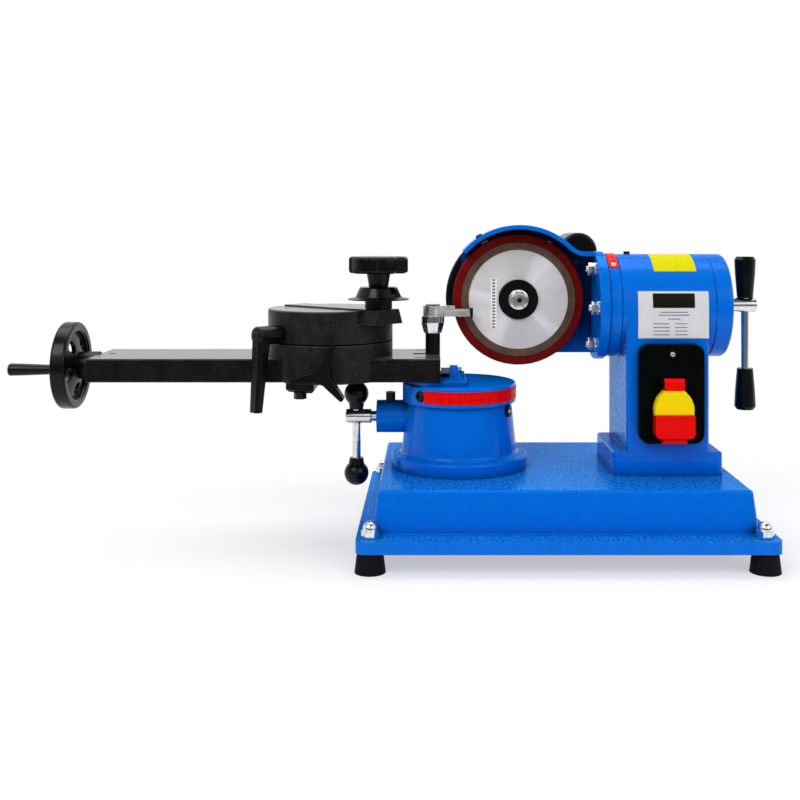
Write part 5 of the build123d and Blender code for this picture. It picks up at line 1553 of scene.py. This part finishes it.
@dataclass
class GrindingHead(ScenePart):
    """Quill, bracket, motor and grinding wheel."""

    tilt: Scale = field(
        default_factory=lambda: Scale(
            52.0, 128.0, short=1.8 * MM, middle=2.6 * MM, long=3.4 * MM, figure=2.4 * MM
        )
    )
    tilt_edge: float = 0.3 * MM
    tilt_screws: Span = (53.0, 127.0)
    tilt_screw: ButtonScrew = ButtonScrew(2.6 * MM, 1.5 * MM, 1.04 * MM, sunk=0.3 * MM)
    # outline of the dark disc that paints the shade of the spindle's centre hole
    centre: tuple[Span, ...] = ((2.3 * MM, 0.0), (2.3 * MM, 0.12 * MM), (0.4 * MM, 0.144 * MM))
    guard_screw_turn: float = 122.0
    guard_screw_in: float = 5.0 * MM
    guard_far: float = 200.0 * MM  # where the search for the guard's roof starts, from the wheel's axis
    roof_screw: ButtonScrew = ButtonScrew(3.6 * MM, 2.4 * MM, 1.5 * MM, sunk=0.3 * MM)
    strip_w: float = 6.0 * MM
    strip_l: float = 48.0 * MM
    strip_x: float = -23.5 * MM
    strip_z: float = -4.0 * MM
    dash: float = 1.7 * MM
    dash_step: float = 3.0 * MM
    dash_w: float = 2.8 * MM
    film: float = 0.12 * MM
    flange_bolt_head: float = 6.0 * MM
    flange_stud: float = 2.0 * MM
    shield_bolt_head: float = 4.0 * MM
    shield_nut: float = 3.2 * MM
    shield_stud: float = 0.5 * MM
    bolt_flats: float = 0.8  # share of the plain head's width
    nut_flats: float = 14.0 * MM
    nut_rim: float = 0.8 * MM
    nut_cone: float = 1.5 * MM  # level at which the coned flange meets the flats
    nut_foot: float = 0.5 * MM
    nut_shoulder: float = 0.78  # share of the height at which the flats end
    nut_chamfer: tuple[Span, ...] = ((0.96, 0.97), (0.72, 1.0))  # shares of half the flats and of the height
    nut_points: int = 48

    def build(self) -> None:
        """Dress the nodes and add the pieces."""
        axis, _ = self.joint("wheel_spin")
        self.dress(SMOOTH_ENAMEL, "quill", "head_bracket")
        self.dress(RED_FOIL, "tilt_scale")
        self.dress(BLACK_PAINT, "motor_shield", "motor_body", "wheel_washer")
        self.dress(PLASTIC, "capacitor")
        self.dress(GROUND_STEEL, "spindle")
        self.dress(replace(CORE_METAL, middle=tuple(axis)), "wheel_core")
        self.dress(ABRASIVE, "wheel_abrasive")
        self.dress(RESIN, "wheel_rim")
        self.tilt_print()
        self.wheel_strip(axis)
        self.spindle_centre(axis)
        self.guard_screw(axis)
        self.head_bolts()
        self.wheel_nut(axis)

    def tilt_print(self) -> None:
        """Add the lines, the numbers and the screws of the tilt scale."""
        axis, _ = self.joint("head_tilt")
        low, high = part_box("tilt_scale")
        drum = Drum(Vector((0, axis.y, axis.z)), RIGHT, BACK, high[2] - axis.z)
        shape = bmesh.new()
        self.tilt.draw(shape, drum, low[0] + self.tilt_edge, 1.0)
        new_piece("tilt_scale_print", shape, PRINT_DARK_RED, "head_quill")
        middle = (low[0] + high[0]) / 2
        seats = [(drum.point(turn, middle), drum.outward(turn)) for turn in self.tilt_screws]
        self.tilt_screw.put("tilt_scale_screws", seats, ZINC, "head_quill", "zinc")

    def spindle_centre(self, axis: Vector) -> None:
        """Add a dark disc on the spindle's end: painted shade of its centre hole.

        Args:
            axis: A point of the wheel's axis.
        """
        end = Vector((axis.x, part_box("spindle")[0][1], axis.z))
        shape = bmesh.new()
        lathe(shape, end, FRONT, self.centre)
        new_piece("spindle_centre", shape, SCREW_STEEL, "grinding_wheel")

    def guard_screw(self, axis: Vector) -> None:
        """Add the small screw on the guard's roof.

        Args:
            axis: A point of the wheel's axis.
        """
        turn = math.radians(self.guard_screw_turn)
        out = Vector((math.cos(turn), 0, math.sin(turn)))
        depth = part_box("wheel_rim")[0][1] - self.guard_screw_in
        seat = self.touch("head_bracket", Vector((axis.x, depth, axis.z)) + out * self.guard_far, -out)
        self.roof_screw.put("guard_screw", [seat], SCREW_STEEL, "head", "dark_steel")

    def wheel_nut(self, axis: Vector) -> None:
        """Put a chamfered nut with a coned flange in the place of the plain one.

        Args:
            axis: A point of the wheel's axis.
        """
        low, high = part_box("wheel_nut")
        seat = Vector((axis.x, high[1], axis.z))
        depth = high[1] - low[1]
        flange = (high[0] - low[0]) / 2
        half = self.nut_flats / 2
        shape = bmesh.new()
        lathe(shape, seat, FRONT, ((flange, 0.0), (flange, self.nut_rim), (half, self.nut_cone)))
        turn = frame_on(FRONT)
        circle = ring_of(self.nut_points)
        corners = []
        for k, (c, s) in enumerate(circle):
            off_flat = math.radians((360.0 * k / self.nut_points) % 60.0 - 30.0)
            corners.append(Vector((half * c, half * s, 0)) / math.cos(off_flat))
        levels = (self.nut_foot, self.nut_shoulder * depth)
        rings = [[point + UP * level for point in corners] for level in levels]
        for size, share in self.nut_chamfer:
            reach = size * half
            rings.append([Vector((reach * c, reach * s, share * depth)) for c, s in circle])
        skin(shape, [[seat + turn @ point for point in ring] for ring in rings])
        piece = new_piece("wheel_nut_bright", shape, BOLT_PLATING, "grinding_wheel")
        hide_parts("wheel_nut")

    def head_bolts(self) -> None:
        """Put nuts on washers in the place of the plain bolt heads."""
        shape = bmesh.new()
        for low, high in self.solids_of("head_bolts"):
            size = high - low
            middle = (low + high) / 2
            if size.x > size.y:
                seat = Vector((low.x + self.flange_bolt_head, middle.y, middle.z))
                nut = StudNut(self.bolt_flats * size.y, self.flange_bolt_head, self.flange_stud)
                nut.add(shape, seat, -RIGHT)
            else:
                seat = Vector((middle.x, low.y + self.shield_bolt_head, middle.z))
                nut = StudNut(self.bolt_flats * size.x, self.shield_nut, self.shield_stud)
                nut.add(shape, seat, FRONT)
        piece = new_piece("head_nuts", shape, BOLT_PLATING, "head")
        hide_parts("head_bolts")

    def wheel_strip(self, axis: Vector) -> None:
        """Add the strip on the wheel's core, with a row of plain dashes.

        Args:
            axis: A point of the wheel's axis.
        """
        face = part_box("wheel_core")[0][1]
        foot = Vector((axis.x + self.strip_x, face, axis.z + self.strip_z - self.strip_l / 2))
        shape = bmesh.new()
        feet = [(foot, FRONT), (foot + UP * self.strip_l, FRONT)]
        sheet_on(shape, feet, (-self.strip_w / 2, self.strip_w / 2), self.film)
        new_piece("wheel_strip", shape, STRIP_FILM, "grinding_wheel")
        shape = bmesh.new()
        for index in range(int(self.strip_l / self.dash_step)):
            start = foot + UP * ((index + 0.5) * self.dash_step - self.dash / 2)
            feet = [(start, FRONT), (start + UP * self.dash, FRONT)]
            sheet_on(shape, feet, (-self.dash_w / 2, self.dash_w / 2), self.film, self.film)
        new_piece("wheel_strip_dashes", shape, GREY_PRINT, "grinding_wheel")


@dataclass
class FeedHandle(ScenePart):
    """Sliding bar handle that feeds the head."""

    def build(self) -> None:
        """Dress the nodes."""
        self.dress(CHROME, "feed_screw", "feed_bar")
        self.dress(PLASTIC, "feed_grips")


@dataclass
class SwitchBox(ScenePart):
    """Switch with its flap and buttons."""

    screw: ButtonScrew = ButtonScrew(2.2 * MM, 1.1 * MM, 0.88 * MM)
    screw_down: float = 8.6 * MM  # below the plate's top edge
    screw_far: float = 100.0 * MM  # where the search for the screw starts, before the plate
    mark: float = 3.2 * MM
    mark_line: float = 1.0 * MM
    mark_t: float = 0.12 * MM
    mark_steps: int = 4
    mark_sides: int = 40
    shoulders: tuple[Span, ...] = (  # half widths of the flap and drops below its top
        (17.5 * MM, 15.0 * MM),
        (16.9 * MM, 12.3 * MM),
        (14.8 * MM, 6.7 * MM),
        (9.1 * MM, 0.0),
    )
    side_steps: int = 4
    flap_edge: float = 0.7 * MM
    pocket_r: float = 9.0 * MM
    pocket_depth: float = 5.0 * MM
    rim_w: float = 24.0 * MM
    rim_h: float = 8.0 * MM
    rim_gap: float = 1.0 * MM
    rim_proud: float = 0.6 * MM
    rim_sunk: float = 0.1 * MM
    rim_edge: float = 0.6  # share of the rim's height at which its chamfer starts
    rim_face: float = 0.97
    rim_far: float = 1.0  # where the search for the plate starts, in front of the frame's middle

    def build(self) -> None:
        """Dress the nodes and add the screw's cap, the rim, the flap and the marks of the buttons."""
        self.dress(PLATE_PLASTIC, "switch_plate")
        self.dress(RED, "flap_hinge", "stop_pad", "stop_button")
        self.dress(GREEN, "start_button")
        low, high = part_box("switch_plate")
        middle = Vector(((low[0] + high[0]) / 2, low[1], high[2] - self.screw_down))
        seat = self.touch("black_screws", middle + FRONT * self.screw_far, BACK)
        self.screw.put("switch_screw_cap", [seat], ZINC, "base", "zinc")
        self.rim()
        self.flap()
        self.start_mark()
        self.stop_mark()

    def flap(self) -> None:
        """Put a flap with sloping shoulders in the place of the round one."""
        low, high = (Vector(corner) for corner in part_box("switch_flap"))
        middle = (low + high) / 2
        half = (high.x - low.x) / 2
        button = middle_of("start_button")
        slope = [(width, high.z - drop) for width, drop in self.shoulders]
        mirrored = [(-width, level) for width, level in reversed(slope)]
        corners = [(-half, low.z), (half, low.z), *slope, *mirrored]
        outline = []
        for first, second in zip(corners, corners[1:] + corners[:1]):
            for share in steps_between(FULL, self.side_steps)[:-1]:
                across = first[0] + share * (second[0] - first[0])
                level = first[1] + share * (second[1] - first[1])
                outline.append(Vector((middle.x + across, 0, level)))
        centre = Vector((button.x, 0, button.z))
        pocket = [centre + (point - centre).normalized() * self.pocket_r for point in outline]
        core = Vector((middle.x, 0, middle.z))
        face = [core + (point - core) * (1 - self.flap_edge / half) for point in outline]
        rings = []
        for ring, depth in (
            (pocket, high.y - self.pocket_depth),
            (pocket, high.y),
            (outline, high.y),
            (outline, low.y + self.flap_edge),
            (face, low.y),
        ):
            rings.append([point + BACK * depth for point in ring])
        shape = bmesh.new()
        skin(shape, rings)
        piece = new_piece("flap_shell", shape, YELLOW, "flap")
        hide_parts("switch_flap")

    def rim(self) -> None:
        """Add the shallow rim over the flap's hinge."""
        hinge = middle_of("flap_hinge")
        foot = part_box("flap_hinge")[1][2] + self.rim_gap
        start = Vector((hinge.x, -self.rim_far, foot + self.rim_h / 2))
        seat, normal = self.touch("switch_plate", start, BACK)
        rings = []
        for size, lift in (
            (1.0, -self.rim_sunk),
            (1.0, self.rim_edge * self.rim_proud),
            (self.rim_face, self.rim_proud),
        ):
            across = RIGHT * size * self.rim_w / 2
            rise = UP * size * self.rim_h / 2
            middle = seat + normal * lift
            corners = (-across - rise, across - rise, across + rise, rise - across)
            rings.append([middle + corner for corner in corners])
        shape = bmesh.new()
        skin(shape, rings)
        new_piece("switch_rim", shape, PLATE_PLASTIC, "base")

    def face_of(self, node: str) -> Vector:
        """Give the middle of a button's front face."""
        middle = middle_of(node)
        return Vector((middle.x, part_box(node)[0][1], middle.z))

    def start_mark(self) -> None:
        """Add a stroke on the start button's face."""
        face = self.face_of("start_button")
        levels = steps_between((-self.mark, self.mark), self.mark_steps)
        feet = [(face + UP * level, FRONT) for level in levels]
        shape = bmesh.new()
        sheet_on(shape, feet, (-self.mark_line / 2, self.mark_line / 2), self.mark_t)
        new_piece("start_button_mark", shape, WHITE_PRINT, "start")

    def stop_mark(self) -> None:
        """Add a ring on the stop button's face."""
        inner = self.mark - self.mark_line
        outline = ((inner, 0.0), (self.mark, 0.0), (self.mark, self.mark_t), (inner, self.mark_t))
        shape = bmesh.new()
        lathe(shape, self.face_of("stop_button"), FRONT, outline, self.mark_sides, loop=True)
        new_piece("stop_button_mark", shape, WHITE_PRINT, "stop")


class Lamp(Enum):
    """The studio's lamps: place, aim, width, height and power."""

    KEY = ((-0.9, -1.5, 1.7), (0.0, 0.0, 0.15), 1.2, 1.0, 20.5)
    FILL = ((1.4, -1.3, 1.0), (0.1, 0.0, 0.15), 1.0, 1.0, 8.5)
    TOP = ((-0.1, 0.45, 1.9), (0.0, 0.0, 0.1), 1.8, 1.2, 21.0)


@dataclass
class Studio(ScenePart):
    """Pale floor, soft light and the camera."""

    floor_color: Color = (0.93, 0.93, 0.94)
    floor_half: float = 6.0
    floor_front: float = 0.66  # the paper ends here, in front of the object
    floor_white: float = 0.5
    floor_middle: float = 0.2  # the shadow is kept round this place
    floor_fade: Span = (0.24, 0.5)
    ambient: float = 0.5
    ambient_low: float = 0.35  # share of the soft light from below
    ambient_span: Span = (-0.2, 0.8)
    room: float = 0.16
    window: float = 0.9
    window_low: Span = (0.12, 0.25)
    window_high: Span = (0.5, 0.75)
    room_edge: Span = (-0.25, 0.2)
    camera_from_wheel: Span = (-82.5 * MM, -997.0 * MM)
    camera_height: float = 282.0 * MM
    focal_pixels: float = 1042.0
    picture: float = 800.0
    sensor: float = 36.0
    principal: Span = (432.0, 235.0)

    def build(self) -> None:
        """Make the whole studio."""
        self.floor()
        self.world()
        for lamp in Lamp:
            self.lamp(lamp)
        self.camera()
        bpy.context.scene.view_settings.view_transform = "Standard"

    def floor(self) -> None:
        """Make the floor, white to the camera but for the object's shadow."""
        half = self.floor_half
        near = -self.floor_front
        corners = [(-half, near, 0), (half, near, 0), (half, half, 0), (-half, half, 0)]
        mesh = bpy.data.meshes.new("floor")
        mesh.from_pydata(corners, [], [(0, 1, 2, 3)])
        paper = bpy.data.materials.new("floor_paper")
        graph = Graph(paper)
        matt = graph.add("ShaderNodeBsdfDiffuse", {"Color": self.floor_color}).outputs[0]
        glow = graph.add("ShaderNodeEmission").outputs[0]
        rays = graph.add("ShaderNodeLightPath").outputs
        seen = graph.sum("MAXIMUM", rays["Is Camera Ray"], rays["Is Glossy Ray"])
        seen = graph.sum("MAXIMUM", seen, rays["Is Transmission Ray"])
        away = graph.around(UP, RIGHT * self.floor_middle)
        white = graph.sum("MULTIPLY", seen, graph.fade(away, self.floor_fade, self.floor_white, 1.0))
        mix = graph.add("ShaderNodeMixShader", {"Fac": white, 1: matt, 2: glow})
        graph.join(mix.outputs[0], graph.output.inputs["Surface"])
        mesh.materials.append(paper)
        floor = bpy.data.objects.new("floor", mesh)
        bpy.context.scene.collection.objects.link(floor)

    def world(self) -> None:
        """Make the surroundings: a white backdrop, a dark room in front and soft light from above."""
        world = bpy.data.worlds.new("studio")
        bpy.context.scene.world = world
        graph = Graph(world, "ShaderNodeOutputWorld")
        rays = graph.add("ShaderNodeLightPath").outputs
        where = graph.add("ShaderNodeTexCoord").outputs["Generated"]
        parts = graph.add("ShaderNodeSeparateXYZ", {0: where}).outputs
        soft = graph.fade(parts["Z"], self.ambient_span, self.ambient_low * self.ambient, self.ambient)
        rising = graph.fade(parts["Z"], self.window_low)
        window = graph.sum("MULTIPLY", rising, graph.fade(parts["Z"], self.window_high, self.window, 0.0))
        ahead = graph.sum("MAXIMUM", window, self.room)
        behind = graph.fade(parts["Y"], self.room_edge)
        mirrored = graph.pick(rays["Is Glossy Ray"], soft, graph.pick(behind, ahead, 1.0))
        seen = graph.sum("MAXIMUM", rays["Is Camera Ray"], rays["Is Transmission Ray"])
        inputs = {"Color": (1.0, 1.0, 1.0), "Strength": graph.pick(seen, mirrored, 1.0)}
        shader = graph.add("ShaderNodeBackground", inputs)
        graph.join(shader.outputs[0], graph.output.inputs["Surface"])

    def lamp(self, lamp: Lamp) -> None:
        """Make one soft lamp.

        Args:
            lamp: Which lamp.
        """
        place, aim, width, height, power = lamp.value
        light = bpy.data.lights.new(lamp.name.lower(), "AREA")
        light.shape = "RECTANGLE"
        light.size = width
        light.size_y = height
        light.energy = power
        holder = bpy.data.objects.new(lamp.name.lower(), light)
        holder.location = place
        holder.rotation_euler = (Vector(aim) - Vector(place)).to_track_quat("-Z", "Y").to_euler()
        bpy.context.scene.collection.objects.link(holder)

    def camera(self) -> None:
        """Make the level camera of the photograph."""
        wheel, _ = self.joint("wheel_spin")
        data = bpy.data.cameras.new("camera")
        data.sensor_width = self.sensor
        data.lens = self.sensor * self.focal_pixels / self.picture
        data.shift_x = 0.5 - self.principal[0] / self.picture
        data.shift_y = self.principal[1] / self.picture - 0.5
        camera = bpy.data.objects.new("camera", data)
        across, back = self.camera_from_wheel
        camera.location = (wheel.x + across, wheel.y + back, self.camera_height)
        camera.rotation_euler = (math.radians(90), 0, 0)
        bpy.context.scene.collection.objects.link(camera)
        bpy.context.scene.camera = camera


def main() -> None:
    """Build the dressed sharpener and its studio."""
    logging.basicConfig(level=logging.INFO)
    for leftover in list(bpy.data.objects):
        bpy.data.objects.remove(leftover)
    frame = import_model()
    parts = (
        BaseAssembly,
        Turret,
        ToothStop,
        LockHandle,
        HandwheelDrive,
        BladeSeat,
        GrindingHead,
        FeedHandle,
        SwitchBox,
    )
    for part in parts:
        part(frame).build()
        LOG.info("%s is dressed", part.__name__)
    Studio(frame).build()


if __name__ == "__main__":
    main()
